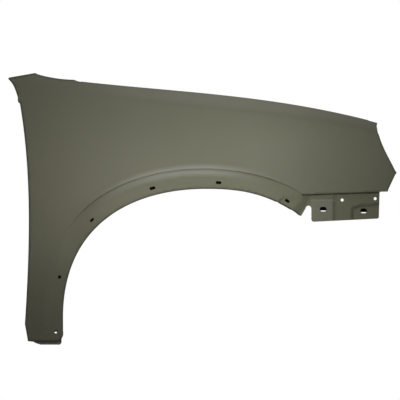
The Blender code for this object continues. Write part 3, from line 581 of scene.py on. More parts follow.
def with_reliefs(run):
    """A run with a point close to each end, where its flange stops short of the corner."""
    far = from_ends(run) > RELIEF_CLEAR
    first = run[0] + (run[1] - run[0]) * RELIEF / np.hypot(*(run[1] - run[0]))
    last = run[-1] + (run[-2] - run[-1]) * RELIEF / np.hypot(*(run[-2] - run[-1]))
    return np.vstack([run[:1], [first], run[far], [last], run[-1:]])


def with_marks(run, marks, axis):
    """A run with a point where it passes each mark along one axis, and none crowding them."""
    order = np.argsort(run[:, axis])
    other = 1 - axis
    crowded = np.abs(run[:, axis][:, None] - np.array(marks)).min(axis=1) < CROWDED
    crowded[[0, -1]] = False
    points = [tuple(p) for p in run[~crowded]]
    for mark in marks:
        across = np.interp(mark, run[order, axis], run[order, other])
        points.append((mark, across) if axis == 0 else (across, mark))
    points.sort(key=lambda p: p[axis], reverse=bool(run[0, axis] > run[-1, axis]))
    return np.array(points)


def pad_ends():
    return [bolt + side * RAIL_PAD / 2 for bolt in RAIL_BOLTS for side in (-1, 1)]


def tab_ends(middle, tab):
    """Where a tab starts and ends, with a point close outside each end for its short sides."""
    half = tab[0]
    return [middle + side * reach for side in (-1, 1) for reach in (half, half + RELIEF)]


def stretches():
    """The sheet's outline in side view by named stretches, anticlockwise from the foot."""
    nub_high = moved(DOOR_TOP, (-NUB_WIDTH, NUB_HIGH))
    nub_low = moved(DOOR_TOP, (-NUB_WIDTH, NUB_LOW))
    blunt = moved(PILLAR_TIP, PILLAR_BLUNT)
    door = joined(
        np.array([nub_low, DOOR_TOP]),
        curve(DOOR_TOP, *DOOR_LEANS, FLARE, EDGE_STEP),
        straight(FLARE, FOOT_REAR, EDGE_STEP),
    )
    nose_front = curve(NOSE_TIP, *NOSE_LEANS, NOSE_TOP, EDGE_STEP)
    runs = {
        "foot": foot_edge(),
        "arch": arch_edge(),
        "bracket": bracket_edge(),
        "nose_low": straight((BRACKET_FRONT, skin_low_z(BRACKET_FRONT)), NOSE_LOW, EDGE_STEP),
        "nose_under": straight(NOSE_LOW, NOSE_TIP, EDGE_STEP),
        "nose_front": with_marks(nose_front, tab_ends(*TABS["nose_front"]), 1),
        "bonnet": with_marks(bonnet_edge(), pad_ends(), 0),
        "cowl": joined(
            straight(BONNET_REAR, COWL, EDGE_STEP),
            curve(COWL, *COWL_LEANS, PEAK, EDGE_STEP),
        ),
        "pillar_top": joined(straight(PEAK, blunt, EDGE_STEP), np.array([blunt, PILLAR_TIP])),
        "pillar": curve(PILLAR_TIP, *PILLAR_LEANS, nub_high, NOTCH_STEP),
        "nub": np.array([nub_high, nub_low]),
        "door": with_marks(door, tab_ends(*TABS["door"]), 1),
    }
    for name in (*FLANGES, "bonnet"):
        runs[name] = with_reliefs(runs[name])
    return runs


def nearest(points, line):
    """For each point, the run along a line to its nearest place, and its distance to the left."""
    start, span = line[:-1], np.diff(line, axis=0)
    length = np.hypot(*span.T)
    before = np.concatenate([[0.0], np.cumsum(length)[:-1]])
    offset = points[:, None, :] - start[None]
    share = np.clip((offset * span).sum(axis=2) / length**2, 0.0, 1.0)
    gap = offset - share[..., None] * span
    distance = np.hypot(gap[..., 0], gap[..., 1])
    k = distance.argmin(axis=1)
    rows = np.arange(len(points))
    side = span[k, 0] * offset[rows, k, 1] - span[k, 1] * offset[rows, k, 0]
    return before[k] + share[rows, k] * length[k], np.copysign(distance[rows, k], side)


def left_of(points, line):
    """How far to the left of a line each point is."""
    return nearest(points, line)[1]


def eased(value, low, high):
    """0 below low, 1 above high, and a smooth rise between."""
    t = np.clip((value - low) / (high - low), 0.0, 1.0)
    return t * t * (3 - 2 * t)


def crossed(value, run):
    """The same smooth rise, over a run with 0 in its middle."""
    return eased(value, -run / 2, run / 2)


def bell(value, width):
    """1 at 0, and a smooth fall on both sides."""
    return np.exp(-((value / width) ** 2))


def ridge(share):
    """1 in the middle of an eased step, 0 on both sides of it."""
    return 4 * share * (1 - share)


def body_depth(x, z):
    """How far inboard the plain body surface lies, from its sweep in plan and its tuck."""
    to_rear = np.clip(BELT_X - x, 0.0, None)
    to_nose = np.clip(x - BELT_X, 0.0, None)
    below = np.clip(BELT_Z - z, 0.0, None)
    sweep = NOSE_SWEEP * (to_nose / (NOSE_TIP[0] - BELT_X)) ** NOSE_POWER
    tuck = TUCK * (below / (BELT_Z - FOOT_Z)) ** TUCK_POWER
    return to_rear**2 / (2 * REAR_PLAN_RADIUS) + sweep + tuck


def shoulder_depth(points):
    """The crown below the crease, and the band above the crease, which leans further inboard."""
    rise = left_of(points, crease_field())
    rounded = np.clip(rise + CROWN_BAND, 0.0, CROWN_BAND)
    crown = CROWN_SLOPE * (rounded**2 / (2 * CROWN_BAND) + np.clip(rise, 0.0, None))
    half = SHOULDER_BEND / 2
    bent = np.clip(rise + half, 0.0, SHOULDER_BEND) ** 2 / (2 * SHOULDER_BEND)
    bent = bent + np.clip(rise - half, 0.0, None)
    fade = eased(points[:, 0], PILLAR_TIP[0], PEAK[0] + CREASE_FADE)
    return crown + SHOULDER_SLOPE * fade * bent


def recess_depth(points):
    """The swell and step at the ledge, the band with its joggle, and the set-in bracket."""
    x, z = points.T
    run, left = nearest(points, ledge_line())
    below = np.where(x > BRACKET_FRONT + PROBE / 4, 0.0, np.clip(-left, 0.0, None))
    into = eased(below, 0.0, STEP_RUN)
    rising = eased(run, LEDGE_STARTS, LEDGE_FULL)
    stepped = rising * (1 - eased(x, *LEDGE_FADE) / 2)
    back = np.clip((below - STEP_RUN) / LEDGE_STRIP, 0.0, 1.0)
    back = back * (2 - back)
    band = into * stepped * (LEDGE_DEPTH - (LEDGE_DEPTH + BAND_PROUD) * back)
    sloped = LEG_FALL * below * (1 - rising)
    past, low = joggle_place(x, z)
    joggle = JOGGLE_DEPTH * eased(past, 0.0, JOGGLE_RUN) * low
    band = band + sloped * eased(z, FOOT_Z, LEG_FALL_Z) + joggle
    ahead = left_of(points, fold_line())
    turned = np.where(x > BRACKET_REAR, 1.0, np.clip(ahead / FOLD_RUN, 0.0, 1.0))
    bracket = into * (BRACKET_SET + bracket_relief(x, z))
    recess = np.where(below > 0, band + (bracket - band) * turned, 0.0)
    near = 1 - np.clip(left / SWELL_WIDTH, 0.0, 1.0)
    fading = rising * (1 - eased(x, *SWELL_FADE))
    return recess - SWELL_RISE * fading * near**2 * (1 - into)


def joggle_place(x, z):
    """How far each point is past the band's slanting step, and its fade above the arch tip."""
    past = (x - (ARCH_TIP[0] - JOGGLE_BACK)) - (z - (ARCH_TIP[1] + JOGGLE_RISE))
    return past, 1 - eased(z - ARCH_TIP[1], *JOGGLE_FADE)


def bracket_place(x, z):
    """How far each point is inside the end and the top of the pad and of the pocket."""
    pad_end = BRACKET_REAR + PAD_EDGE
    pad_top = LEDGE_END[1] - PAD_TOP
    pocket_end = BRACKET_FRONT - POCKET_EDGE
    pocket_top = LEDGE_END[1] - POCKET_TOP + POCKET_TILT * (x - BRACKET_FRONT)
    return pad_end - x, pad_top - z, x - pocket_end, pocket_top - z


def bracket_relief(x, z):
    """The raised pad round the rear bolt slot and the sunk pocket round the front one."""
    across, over, into, under = [crossed(past, RELIEF_RUN) for past in bracket_place(x, z)]
    return POCKET_DEPTH * (into * under) - PAD_RAISE * (across * over)


def tab_depth(points):
    """The foot's lower tab, set in behind the skin."""
    left = left_of(points, sill_line())
    low = points[:, 1] < FOOT_Z + FOOT_CHAMFER
    return np.where(low, FOOT_TAB_SET * np.clip(-left / STEP_RUN, 0.0, 1.0), 0.0)


def free_depth(points):
    """Inboard depth of the painted surface before its bolt seats are flattened."""
    form = body_depth(*points.T) + shoulder_depth(points)
    return form + recess_depth(points) + tab_depth(points)


def depth(points):
    """Inboard depth of the painted surface at points of the side view, flat at each bolt seat."""
    points = np.atleast_2d(np.asarray(points, float))
    form = free_depth(points)
    for centre, radius in bolt_seats():
        here = np.array([centre])
        across = [free_depth(here + step)[0] - free_depth(here - step)[0] for step in PROBES]
        plane = free_depth(here)[0] + (points - centre) @ (np.array(across) / (2 * PROBE))
        away = np.hypot(*(points - centre).T)
        form = form + (plane - form) * (1 - eased(away, radius, radius + SEAT_BLEND))
    from_hole = np.hypot(*(points - foot_hole()).T)
    return form + FOOT_DIMPLE_DEPTH * (1 - eased(from_hole, FOOT_HOLE / 2, FOOT_DIMPLE / 2))


def slopes(points):
    """How fast the depth changes along X and along Z."""
    return [(depth(points + step) - depth(points - step)) / (2 * PROBE) for step in PROBES]


def foot_hole():
    return np.array([LEG_X - FOOT_HOLE_BACK, FOOT_Z + FOOT_HOLE_RISE])


def rear_bolt():
    return np.array(moved((BRACKET_REAR, LEDGE_END[1] - BRACKET_HEIGHT_REAR), REAR_BOLT))


def front_bolt():
    low = skin_low_z(BRACKET_FRONT) - BRACKET_HEIGHT_FRONT
    return np.array(moved((BRACKET_FRONT, low), FRONT_BOLT))


def bolt_seats():
    """Centre and flat radius of the seat round each bolt hole that fixes the outer face."""
    return [
        (foot_hole(), FOOT_DIMPLE / 2 + FOOT_SEAT),
        (rear_bolt(), BOLT_SLOT / 2 + BOLT_SEAT),
        (front_bolt(), BOLT_SLOT / 2 + BOLT_SEAT),
    ]


def clip_slot(edge, angle, set_back, length, width):
    """A slot beside the arch edge, at an angle round the wheel's centre."""
    turns = np.unwrap(np.arctan2(edge[:, 1], edge[:, 0]))
    k = int(np.abs(turns - angle).argmin())
    along = edge[k + 1] - edge[k - 1]
    along = along / np.hypot(*along)
    share = (angle - turns[k]) / (turns[k + 1] - turns[k])
    at_edge = edge[k] + share * (edge[k + 1] - edge[k])
    return oval(at_edge + set_back * np.array([-along[1], along[0]]), length, width, along)


def pierced_loops():
    """Everything pierced through the outer face: clip slots, bolt slots and round holes."""
    edge = arch_edge()
    loops = []
    for angle, set_back, length, width in CLIP_SLOTS:
        loops.append(clip_slot(edge, math.radians(angle), set_back, length, width))
    loops.append(oval(rear_bolt(), BOLT_SLOT, BOLT_SLOT_WIDTH))
    loops.append(oval(front_bolt(), BOLT_SLOT, BOLT_SLOT_WIDTH))
    middle_x = BRACKET_REAR + MIDDLE_PIN[0]
    front_x = BRACKET_FRONT + FRONT_PIN[0]
    for x, below in ((middle_x, MIDDLE_PIN[1]), (front_x, FRONT_PIN[1])):
        loops.append(oval((x, skin_low_z(x) - below), PIN_HOLE, PIN_HOLE))
    loops.append(oval(foot_hole(), FOOT_HOLE, FOOT_HOLE))
    return loops


def closer_ends(run):
    """Adds points near both ends of a stretch, where its bend tightens."""
    gone = gone_along(run)
    near = CORNER_RUN * CORNER_SHARES
    near = near[near < gone[-1] / 2]
    return at_places(run, gone, np.unique(np.concatenate([gone, near, gone[-1] - near])))


def unit(vectors):
    """The same directions, each one long."""
    return vectors / np.hypot(*vectors.T)[:, None]


def closed(ring):
    """A loop with its first point again at its end."""
    return np.vstack([ring, ring[:1]])


def inset_outline(runs):
    """Draws flanged stretches in by the bend radius, so that each bend reaches the outline.

    Towards a corner the bend tightens, so that the corner itself stays sharp.

    Returns the loop, its outward directions, how far each point was drawn in, and the first and
    last place of each stretch.
    """
    loop, pull, spots = [], [], {}
    for name, run in runs.items():
        if name in FLANGES:
            run = closer_ends(run)
        full = BEND_RADIUS if name in FLANGES else 0.0
        spots[name] = (len(loop), len(loop) + len(run) - 1)
        loop.extend(run[:-1])
        pull.extend(full * np.clip(from_ends(run)[:-1] / CORNER_RUN, 0.0, 1.0))
    loop = np.array(loop)
    ahead = unit(np.roll(loop, -1, axis=0) - loop)
    outward = np.column_stack([ahead[:, 1], -ahead[:, 0]])
    outward = unit(outward + np.roll(outward, 1, axis=0))
    reach = np.array(pull)
    return loop - outward * reach[:, None], outward, reach, spots


def offset_line(line, distance):
    """A line moved sideways, to its right."""
    ahead = unit(np.gradient(line, axis=0))
    return line + distance * np.column_stack([ahead[:, 1], -ahead[:, 0]])


def beside_ledge(distance, above):
    """A line beside the ledge, behind the arch's front tip and above a height."""
    line = offset_line(ledge_line(), distance)
    return line[(line[:, 0] < ARCH_TIP[0] - LEDGE_STRIP) & (line[:, 1] > above)]


def form_lines():
    """The lines inside the outline that the surface folds along."""
    ledge = ledge_line()
    unders = []
    for k in range(1, STEP_LINES + 1):
        aside = k * STEP_RUN / STEP_LINES
        under = offset_line(ledge, aside)
        under[-1] = ledge[-1] - [0.0, aside]
        unders.append(under)
    swell_low = ARCH_SPRING + SWELL_WIDTH
    strips = [beside_ledge(STEP_RUN + share * LEDGE_STRIP, ARCH_SPRING) for share in STRIP_LINES]
    swells = [beside_ledge(-share * SWELL_WIDTH, swell_low) for share in SWELL_LINES]
    creases = [offset_line(crease_line(), share * SHOULDER_BEND) for share in CREASE_LINES]
    sill = sill_line()
    under_sill = sill[1:-1] - [0.0, STEP_RUN]
    under_sill[-1] = (LEG_X - FOOT_TAB_FRONT, FOOT_Z + FOOT_CHAMFER / 2 - STEP_RUN)
    seats = [oval(centre, 2 * radius, 2 * radius) for centre, radius in bolt_seats()]
    seats.append(oval(foot_hole(), FOOT_DIMPLE, FOOT_DIMPLE))
    return [
        *[closed(ring) for ring in seats],
        ledge,
        *unders,
        *strips,
        *swells,
        fold_line()[1:-1],
        *[line[1:-1] for line in creases],
        sill,
        under_sill,
    ]


def inside(points, loop):
    """Which points lie inside a closed loop."""
    a, b = loop, np.roll(loop, -1, axis=0)
    x, z = points[:, :1], points[:, 1:]
    spans = (a[:, 1] > z) != (b[:, 1] > z)
    rise = np.where(b[:, 1] == a[:, 1], 1.0, b[:, 1] - a[:, 1])
    cross = a[:, 0] + (z - a[:, 1]) * (b[:, 0] - a[:, 0]) / rise
    return (spans & (x < cross)).sum(axis=1) % 2 == 1


def grid_points(loop, pierced, lines, step, wanted, low, high):
    """A staggered field of points inside the outline, clear of every line and hole."""
    levels = np.arange(low[1], high[1], step * math.sqrt(3) / 2)
    places = np.arange(low[0], high[0], step)
    field = [(x + (n % 2) * step / 2, z) for n, z in enumerate(levels) for x in places]
    field = np.array(field)
    field = field[inside(field, loop) & wanted(field)]
    rings = [closed(ring) for ring in [loop] + pierced]
    for line in rings + lines:
        field = field[np.abs(left_of(field, line)) > GRID_CLEAR * step]
    for ring in pierced:
        field = field[~inside(field, ring)]
    return field


def is_fine(points):
    """The bumper bracket and the front of the arch band, where the relief is small."""
    left = left_of(points, ledge_line())
    return (left < 0) & (points[:, 0] > FINE_X)


def triangulated(loop, pierced, lines):
    """The flat blank as triangles: its outline, holes and fold lines, and points between.

    Returns the points, the triangles, and where each point of the outline went.
    """
    points, edges = [], []
    for ring in [loop] + pierced:
        first = len(points)
        points.extend(ring)
        edges.extend((first + k, first + (k + 1) % len(ring)) for k in range(len(ring)))
    for line in lines:
        first = len(points)
        points.extend(line)
        edges.extend((first + k, first + k + 1) for k in range(len(line) - 1))
    low, high = loop.min(axis=0), loop.max(axis=0)
    points.extend(grid_points(loop, pierced, lines, GRID, lambda p: ~is_fine(p), low, high))
    low = (FINE_X, bracket_low_z(BRACKET_REAR))
    high = (BRACKET_FRONT, ARCH_HEIGHT + BAND_WIDTH)
    points.extend(grid_points(loop, pierced, lines, FINE_GRID, is_fine, low, high))
    flat = [Vector((x, z)) for x, z in points]
    verts, _, faces, origins, _, _ = delaunay_2d_cdt(flat, edges, [], 0, JOIN_WITHIN)
    verts = np.array([(v.x, v.y) for v in verts])
    middles = np.array([verts[list(face)].mean(axis=0) for face in faces])
    kept = inside(middles, loop)
    for ring in pierced:
        kept &= ~inside(middles, ring)
    faces = [tuple(face) for face, keep in zip(faces, kept) if keep]
    went = {old: new for new, olds in enumerate(origins) for old in olds}
    return verts, faces, went


def folded(heading, moves):
    """Points of a folded section: each move is a turn at a radius, or a straight run."""
    a, b, rows = 0.0, 0.0, []
    for turn, amount in moves:
        parts = BEND_FACETS if turn else 1
        for _ in range(parts):
            length = 2 * amount * math.sin(abs(turn) / parts / 2) if turn else amount
            a += length * math.cos(heading + turn / parts / 2)
            b += length * math.sin(heading + turn / parts / 2)
            heading += turn / parts
            rows.append((a, b))
    return rows


def add_strip(mesh, edge, sections, shade_amount=0.0):
    """Faces from an edge of the sheet out through each column of section points, with painted
    shade.
    """
    rows = [edge] + [[mesh.verts.new(p) for p in row] for row in zip(*sections)]
    layer = mesh.verts.layers.float["painted_shade"]
    for row, share in zip(rows, [shade_amount / 2] + [shade_amount] * len(sections[0])):
        for vertex in row:
            vertex[layer] = max(vertex[layer], share)
    for inner, outer in zip(rows[:-1], rows[1:]):
        for k in range(len(edge) - 1):
            mesh.faces.new((inner[k + 1], inner[k], outer[k], outer[k + 1]))


def flange_width(name, z):
    """An inward flange's width, with its bolt tab where it has one."""
    if name in TABS:
        middle, tab = TABS[name]
        if abs(z - middle) < tab[0] + RELIEF / 2:
            return tab[1]
    return FLANGES[name]


def add_flange(mesh, name, edge, flat, outward, reach):
    """An inward flange along part of the outline, square to the skin or straight inboard."""
    slope_x, slope_z = slopes(flat)
    sections = []
    for k, vertex in enumerate(edge):
        inward = Vector((-slope_x[k], 1.0, -slope_z[k])).normalized()
        if name in STRAIGHT_FLANGES:
            inward = Vector((0.0, 1.0, 0.0))
        x, z = outward[k]
        out = Vector((x, slope_x[k] * x + slope_z[k] * z, z)).normalized()
        width = flange_width(name, flat[k][1])
        section = folded(0.0, [(math.pi / 2, float(reach[k])), (0.0, width)])
        sections.append([vertex.co + a * out + b * inward for a, b in section])
    # Painted shade darkens each flange, half as much at the edge it turns from.
    add_strip(mesh, edge, sections, RIM_SHADE)


def rail_level(x, z):
    """Height of the rail under an edge point: level at each bolt's pad, else following the edge."""
    edge = bonnet_edge()[::-1]
    for bolt in RAIL_BOLTS:
        if abs(x - bolt) < RAIL_PAD / 2 + PROBE:
            return float(np.interp(bolt, edge[:, 0], edge[:, 1])) - GUTTER_DEPTH
    return z - GUTTER_DEPTH


def add_gutter(mesh, edge, flat):
    """The wall that drops inside the bonnet gap, and the bolt rail at its foot."""
    _, slope_z = slopes(flat - [0.0, BEND_RADIUS])
    down = GUTTER_LEAN - math.pi / 2
    sections = []
    for k, vertex in enumerate(edge):
        heading = math.atan2(1.0, float(slope_z[k]))
        over = (down - heading, BEND_RADIUS)
        under = (-down, BEND_RADIUS)
        risen = folded(heading, [over])[-1][1] + folded(down, [under])[-1][1]
        drop = vertex.co.z + risen - rail_level(vertex.co.x, vertex.co.z)
        wall = (0.0, drop / math.cos(GUTTER_LEAN))
        section = folded(heading, [over, wall, under, (0.0, RAIL_WIDTH)])
        sections.append([vertex.co + Vector((0.0, a, b)) for a, b in section])
    add_strip(mesh, edge, sections)
    return sections


def bracket_steps(points):
    """Shares like those in bracket_relief, for the painted highlight and shade, and which points
    are on the bracket.
    """
    x, z = points.T
    across, over, into, under = bracket_place(x, z)
    across = eased(across, *PAD_END_RUN)
    over = crossed(over, RELIEF_SHADING_RUN / 2)
    into, under = crossed(into, RELIEF_SHADING_RUN), crossed(under, RELIEF_SHADING_RUN)
    ahead = (x > BRACKET_REAR - STEP_RUN) & (z < LEDGE_END[1] + STEP_RUN)
    return across, over, into, under, ahead


def olive(points):
    """How much greener the primer is: on the arch band and the bracket."""
    left = left_of(points, ledge_line())
    return eased(-left, 0.0, STEP_RUN) * eased(points[:, 0], *OLIVE_FADE)


def painted_highlight(points):
    """How much painted highlight lightens the primer: at the ledge, leg, shoulder, pad and foot
    tab.
    """
    x, z = points.T
    left = left_of(points, ledge_line())
    swell = 1 - eased(left / SWELL_WIDTH, *SWELL_SHEEN)
    strip = np.where(left > 0, swell, 1 - eased(-left / LEDGE_STRIP, *STRIP_SHEEN))
    ends = eased(x, *LEDGE_SHEEN_REAR) * (1 - eased(x, *LEDGE_SHEEN_FRONT))
    strip = strip * ends * (z > ARCH_SPRING)
    leg = LEG_SHEEN * bell(left, LEG_SHEEN_RUN) * (z < ARCH_SPRING)
    rise = left_of(points, crease_field())
    shoulder = SHOULDER_SHEEN * (crossed(rise, SHOULDER_BEND) * eased(x, *SHOULDER_FADE))
    across, over, _, _, ahead = bracket_steps(points)
    pad = PAD_SHEEN * ahead * across * over
    pad_top = ahead * (across > 0.5) * ridge(over)
    left = left_of(points, sill_line())
    tab = FOOT_SHEEN * (left < -STEP_RUN) * (z < FOOT_Z + FOOT_CHAMFER)
    return np.max([strip, leg, shoulder, pad, pad_top, tab], axis=0)


def painted_shade(points):
    """How much painted shade darkens the sheet: in its steps, along the crease and down the leg."""
    x, z = points.T
    left = left_of(points, ledge_line())
    step = crossed(-left, STEP_RUN / 2) * (1 - eased(-left, STEP_RUN, STEP_SHADE_RUN))
    step = step * eased(x, LEDGE_END[0] - 2 * STEP_RUN, LEDGE_END[0])
    left = left_of(points, sill_line())
    sill = eased(-left, -STEP_RUN, 0.0) * (1 - eased(-left, STEP_RUN / 2, STEP_RUN))
    sill = sill * (z < FOOT_Z + FOOT_CHAMFER)
    rise = left_of(points, crease_field())
    crease = CREASE_SHADE * bell(rise, SHOULDER_BEND / 2) * eased(x, *SHOULDER_FADE)
    across, _, into, under, ahead = bracket_steps(points)
    pad = PAD_SHADE * ahead * ridge(across)
    pocket = POCKET_SHADE * ahead * np.maximum(ridge(into) * under, ridge(under) * into)
    past, low = joggle_place(x, z)
    joggle = PAD_SHADE * ridge(eased(past, -JOGGLE_RUN / 2, JOGGLE_RUN)) * low * ~ahead
    leg = LEG_SHADE * (1 - eased(z, *LEG_FADE))
    return np.max([step, sill, crease, pad, pocket, joggle, leg], axis=0)


def pressed_sheet():
    """The whole sheet as an open surface, painted side out, and the sections of its rail."""
    loop, outward, reach, spots = inset_outline(stretches())
    flat, faces, went = triangulated(loop, pierced_loops(), form_lines())
    mesh = bmesh.new()
    layers = [mesh.verts.layers.float.new(name) for name in ("olive", "painted_highlight", "painted_shade")]
    verts = [mesh.verts.new((x, y, z)) for (x, z), y in zip(flat, depth(flat))]
    for layer, amounts in zip(layers, (olive(flat), painted_highlight(flat), painted_shade(flat))):
        for vertex, share in zip(verts, amounts):
            vertex[layer] = share
    for face in faces:
        mesh.faces.new([verts[k] for k in face])
    rail = []
    for name, (first, last) in spots.items():
        picked = np.arange(first + 1, last)
        if name == "nose_front":
            picked = picked[loop[picked, 1] < NOSE_TOP[1] - NOSE_RELIEF]
        if name == "bonnet":
            picked = picked[loop[picked, 0] < NOSE_TOP[0] - GUTTER_RELIEF]
        edge = [verts[went[k]] for k in picked]
        if name in FLANGES:
            add_flange(mesh, name, edge, loop[picked], outward[picked], reach[picked])
        if name == "bonnet":
            rail = add_gutter(mesh, edge, loop[picked])
    return mesh, rail


def rail_middle(rail, x):
    """The middle of the rail's upper side at a place along it."""
    rows = sorted((part[-1].x, (part[-1].y + part[-2].y) / 2, part[-1].z) for part in rail)
    places, sides, levels = zip(*rows)
    return Vector((x, np.interp(x, places, sides), np.interp(x, places, levels)))


def add_cutter(diameter, length, place, turn=(0.0, 0.0, 0.0)):
    """A round cutter, along Z unless it is turned."""
    bpy.ops.mesh.primitive_cylinder_add(
        vertices=HOLE_POINTS, radius=diameter / 2, depth=length, location=place, rotation=turn
    )
    return bpy.context.object


def tab_hole_place(line, z, tab):
    """The middle of a flange tab, behind the outline at a height."""
    order = np.argsort(line[:, 1])
    x = float(np.interp(z, line[order, 1], line[order, 0]))
    y = float(depth([(x, z)])[0]) + tab[1] / 2 + BEND_RADIUS
    return (x, y, z)


def hole_cutters(rail):
    """Cutters for the rail's bolt holes and the holes in the two flange tabs."""
    runs = stretches()
    along_x = (0.0, math.pi / 2, 0.0)
    cutters = [add_cutter(RAIL_HOLE, 4 * RAIL_HOLE, rail_middle(rail, x)) for x in RAIL_BOLTS]
    for stretch, (z, tab) in TABS.items():
        place = tab_hole_place(runs[stretch], z, tab)
        cutters.append(add_cutter(tab[2], 2 * tab[1], place, along_x))
    return cutters


def smooth(panel):
    """Keeps what the modifiers made as the panel's mesh, smooth but for its sharp edges."""
    bpy.context.view_layer.update()
    graph = bpy.context.evaluated_depsgraph_get()
    made = bpy.data.meshes.new_from_object(panel.evaluated_get(graph))
    panel.modifiers.clear()
    panel.data = made
    shade(made)


def shade(data):
    """Smooth shading, with sharp edges where faces meet at an angle."""
    data.shade_smooth()
    data.set_sharp_from_angle(angle=SHARP_ANGLE)


def shader_of(material):
    material.use_nodes = True
    return material.node_tree, material.node_tree.nodes["Principled BSDF"]


def feed(tree, node, inputs):
    """Fills a node's inputs, each with a value or from another node's output."""
    for name, value in inputs.items():
        if isinstance(value, bpy.types.NodeSocket):
            tree.links.new(value, node.inputs[name])
        else:
            node.inputs[name].default_value = value


def add_node(tree, kind, **inputs):
    node = tree.nodes.new(kind)
    feed(tree, node, inputs)
    return node


def noise(tree, **look):
    """Noise over the object's own metres."""
    place = tree.nodes.new("ShaderNodeTexCoord").outputs["Object"]
    return add_node(tree, "ShaderNodeTexNoise", Vector=place, **look).outputs["Fac"]


def ramp(tree, value, first, last):
    """Turns noise into a colour or a gloss between first and last."""
    node = add_node(tree, "ShaderNodeValToRGB", Fac=value)
    low, high = node.color_ramp.elements
    low.position, high.position = RAMP_ENDS
    low.color = first
    high.color = last
    return node.outputs["Color"]


def reckoned(tree, operation, first, second):
    """A number reckoned from two others."""
    node = tree.nodes.new("ShaderNodeMath")
    node.operation = operation
    feed(tree, node, {0: first, 1: second})
    return node.outputs[0]


def kept_amount(tree, name):
    """One of the amounts kept at the sheet's points."""
    node = tree.nodes.new("ShaderNodeAttribute")
    node.attribute_name = name
    return node.outputs["Fac"]


def mixed(tree, share, first, second):
    """The first colour, turned into the second by the share."""
    node = tree.nodes.new("ShaderNodeMix")
    node.data_type = "RGBA"
    feed(tree, node, {0: share, 6: first, 7: second})
    return node.outputs[2]


def primer():
    """Olive-grey satin primer: faint clouding, fine spray texture, painted highlight on glossier
    places, and painted shade.
    """
    material = bpy.data.materials.new("primer_satin")
    tree, shader = shader_of(material)
    highlight = kept_amount(tree, "painted_highlight")
    clouds = noise(tree, Scale=5.0, Detail=3.0, Roughness=0.5)
    tint = ramp(tree, clouds, PRIMER_DARK, PRIMER_LIGHT)
    tint = mixed(tree, kept_amount(tree, "olive"), tint, OLIVE_TINT)
    # Painted highlight: a lighter tint along the ledge, leg, shoulder, pad and foot tab.
    tint = mixed(tree, highlight, tint, HIGHLIGHT_TINT)
    # Painted shade: a darker tint in the steps, along the crease, at the bracket's edges, on the
    # flanges and down the leg.
    tint = mixed(tree, kept_amount(tree, "painted_shade"), tint, PAINTED_SHADE_TINT)
    specks = noise(tree, Scale=60.0, Detail=4.0, Roughness=0.6)
    rough = mixed(tree, highlight, ramp(tree, specks, ROUGH_LOW, ROUGH_HIGH), ROUGH_HIGHLIGHT)
    spray = noise(tree, Scale=900.0, Detail=2.0, Roughness=0.5)
    bump = add_node(tree, "ShaderNodeBump", Strength=0.12, Distance=0.0001, Height=spray)
    normal = bump.outputs["Normal"]
    feed(tree, shader, {"Base Color": tint, "Roughness": rough, "Normal": normal})
    feed(tree, shader, {"Specular IOR Level": PRIMER_SPECULAR})
    return material


def shade_black():
    """Near-black matt for the plugs and the pads, which are painted shade in the slots and holes.
    """
    material = bpy.data.materials.new("painted_shade_black")
    tree, shader = shader_of(material)
    clouds = noise(tree, Scale=300.0, Detail=3.0, Roughness=0.6)
    tint = ramp(tree, clouds, SHADE_BLACK_DARK, SHADE_BLACK_LIGHT)
    feed(tree, shader, {"Base Color": tint, "Roughness": MATT, "Specular IOR Level": 0.0})
    return material


def placed(name, data):
    """A new object in the scene."""
    thing = bpy.data.objects.new(name, data)
    bpy.context.scene.collection.objects.link(thing)
    return thing


def add_mesh(name, mesh, material):
    data = bpy.data.meshes.new(name)
    mesh.to_mesh(data)
    mesh.free()
    data.materials.append(material)
    return placed(name, data)


def panel_piece():
    """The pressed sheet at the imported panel's place, and the offset that takes it there."""
    mesh, rail = pressed_sheet()
    panel = add_mesh("fender_sheet", mesh, primer())
    wall = panel.modifiers.new("sheet", "SOLIDIFY")
    wall.thickness = SHEET
    wall.offset = -1.0
    wall.use_even_offset = True
    wall.use_quality_normals = True
    cutters = hole_cutters(rail)
    for cutter in cutters:
        cut = panel.modifiers.new("hole", "BOOLEAN")
        cut.object = cutter
        cut.solver = "EXACT"
    smooth(panel)
    for cutter in cutters:
        bpy.data.objects.remove(cutter, do_unlink=True)
    seat = rail_middle(rail, RAIL_BOLTS[1] - BESIDE_BOLT) - Vector((0.0, 0.0, SHEET))
    panel.location = -seat
    return panel, -seat


def add_plug(mesh, centre, sections):
    """A closed body through loops of the painted surface, each sunk inboard by its own amount."""
    slope_x, slope_z = [float(part[0]) for part in slopes(np.array([centre]))]
    inward = Vector((-slope_x, 1.0, -slope_z)).normalized()
    rings = []
    for loop, sunk in sections:
        sides = zip(loop, depth(loop))
        rings.append([mesh.verts.new(Vector((x, y, z)) + inward * sunk) for (x, z), y in sides])
    for outer, inner in zip(rings[:-1], rings[1:]):
        for k in range(len(outer)):
            n = (k + 1) % len(outer)
            mesh.faces.new((outer[k], outer[n], inner[n], inner[k]))
    mesh.faces.new(rings[0][::-1])
    mesh.faces.new(rings[-1])


def clip_plugs():
    """Centre and loops of each clip slot's plug, painted shade: a low dome on a wider flange behind
    the sheet.
    """
    edge = arch_edge()
    for angle, set_back, length, width in CLIP_SLOTS:
        loop = clip_slot(edge, math.radians(angle), set_back, length, width)
        centre = loop.mean(axis=0)
        yield centre, [(centre + (loop - centre) * share, sunk) for share, sunk in PLUG_RINGS]


def crescent(outer, inner):
    """The part of the outer oval that lies over the upper half of the inner one."""
    level = inner[:, 1].mean()
    upper = outer[outer[:, 1] > level]
    lower = inner[inner[:, 1] > level]
    return np.vstack([upper[np.argsort(upper[:, 0])], lower[np.argsort(-lower[:, 0])]])


